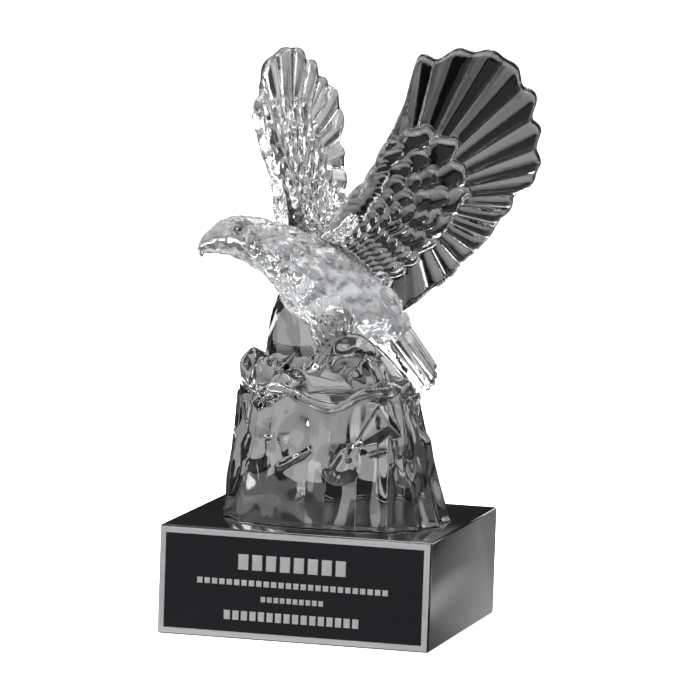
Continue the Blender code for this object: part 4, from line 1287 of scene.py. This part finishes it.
def makeFloor():
    s = studioSettings
    shape = bmesh.new()
    bmesh.ops.create_grid(shape, x_segments=1, y_segments=1, size=s["floorReach"])
    floor = finishShape(shape, "floor")
    made, tree, _ = newMaterial("paleFloor")
    tree.nodes.clear()
    add, link = tree.nodes.new, tree.links.new
    pale, glow = add("ShaderNodeBsdfDiffuse"), add("ShaderNodeEmission")
    lift, both = add("ShaderNodeEmission"), add("ShaderNodeAddShader")
    lift.inputs["Strength"].default_value = s["floorLift"]
    link(pale.outputs[0], both.inputs[0])
    link(lift.outputs[0], both.inputs[1])
    pale.inputs["Color"].default_value = s["floorColour"]
    place = add("ShaderNodeTexCoord").outputs["Object"]
    behind, aside = (addDot(tree, place, axis) for axis in viewAxes())
    nearest, farthest = s["floorSpan"]
    share = addMath(tree, "DIVIDE", addMath(tree, "SUBTRACT", behind, nearest), farthest - nearest)
    distances, *columns = zip(*s["floor"])
    places = [(distance - nearest) / (farthest - nearest) for distance in distances]
    left, total, right = (addRamp(tree, share, list(zip(places, column))) for column in columns)
    half = addMath(tree, "MULTIPLY", addMath(tree, "MAXIMUM", behind, 0.0), s["stripSpread"])
    offset = addMath(tree, "DIVIDE", aside, addMath(tree, "ADD", half, s["stripWidth"]))
    for side, low, high in ((left, 0.7, 1.3), (right, -0.7, -1.3)):
        share = addRange(tree, offset, low, high, 0.0, 1.0)
        total = addMath(tree, "ADD", addMath(tree, "MULTIPLY", side, share),
                        addMath(tree, "MULTIPLY", total, addMath(tree, "SUBTRACT", 1.0, share)))
    link(total, glow.inputs["Strength"])
    choose, path, output = (add("ShaderNode" + part) for part in ("MixShader", "LightPath", "OutputMaterial"))
    link(path.outputs["Is Camera Ray"], choose.inputs[0])
    link(glow.outputs[0], choose.inputs[1])
    link(both.outputs[0], choose.inputs[2])
    link(choose.outputs[0], output.inputs["Surface"])
    floor.data.materials.append(made)
    return floor


lightSettings = {
    # place, target, size, power, and whether only matt surfaces get it
    "keyBox": ((-1.2, -1.9, 0.8), (0.0, 0.0, 0.12), (1.0, 1.2), 100.0, True),
    "topBox": ((0.1, 0.4, 2.4), (0.0, 0.0, 0.1), (1.8, 1.6), 60.0, False),
}


def makeLight(name, place, target, size, power, mattOnly):
    data = bpy.data.lights.new(name, "AREA")
    data.shape = "RECTANGLE"
    data.size, data.size_y = size
    data.energy = power
    lamp = bpy.data.objects.new(name, data)
    scene.collection.objects.link(lamp)
    lamp.location = place
    lamp.rotation_euler = (Vector(target) - Vector(place)).to_track_quat("-Z", "Y").to_euler()
    lamp.visible_glossy = not mattOnly
    lamp.visible_transmission = not mattOnly


# Camera, at the photograph's angle

cameraSettings = {
    "azimuth": 14.27,
    "elevation": 6.78,
    "roll": 1.986,
    "distance": 3.0233,
    "aside": 0.005943,
    "above": 0.125907,
    "focalPixels": 6558.0,
    "imagePixels": 700.0,
    "sensor": 36.0,
}


def makeCamera():
    s = cameraSettings
    a, e, r = (math.radians(s[k]) for k in ("azimuth", "elevation", "roll"))
    back = Vector((math.sin(a) * math.cos(e), -math.cos(a) * math.cos(e), math.sin(e)))
    right = Vector((math.cos(a), math.sin(a), 0.0))
    up = back.cross(right)
    place = back * s["distance"] + right * s["aside"] + up * s["above"]
    turnedRight = right * math.cos(r) + up * math.sin(r)
    turnedUp = up * math.cos(r) - right * math.sin(r)
    data = bpy.data.cameras.new("photoCamera")
    data.sensor_width = s["sensor"]
    data.lens = s["focalPixels"] / s["imagePixels"] * s["sensor"]
    data.clip_start, data.clip_end = 0.05, 50.0
    camera = bpy.data.objects.new("photoCamera", data)
    scene.collection.objects.link(camera)
    turn = Matrix((turnedRight, turnedUp, back)).transposed().to_4x4()
    camera.matrix_world = Matrix.Translation(place) @ turn
    scene.camera = camera


# Build

crystal = makeCrystal()
crystal.data.materials.append(glassMaterial("clearCrystal", glassSettings, 1.0))
crystal.data.materials.append(glueMaterial())
# the two clouded glasses, denser and fainter painted sparkle
for name, clear in zip(("paintedSparkleSatinCrystal", "faintPaintedSparkleSatinCrystal"), paintedSparkleSatinSettings["clear"]):
    crystal.data.materials.append(glassMaterial(name, paintedSparkleSatinSettings, clear))
metal = plaqueMetalMaterial()
base = makeBase(lacquerMaterial())
plate, fieldY, middleZ = makePlaque(metal, plaqueFieldMaterial())
strokes = makeStrokes(metal, fieldY, middleZ)
print("base and plaque done")

for piece, node, slotName in (
    (crystal, "crystal_eagle", "clear_crystal"),
    (base, "base_block", "black_lacquer"),
    (plate, "plaque", "plaque_metal"),
):
    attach(piece, "root")
    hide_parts(node)
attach(strokes, "root")

makeFloor()
makeWorld()
for name, values in lightSettings.items():
    makeLight(name, *values)
makeCamera()
scene.view_settings.view_transform = "Standard"
print("studio done")
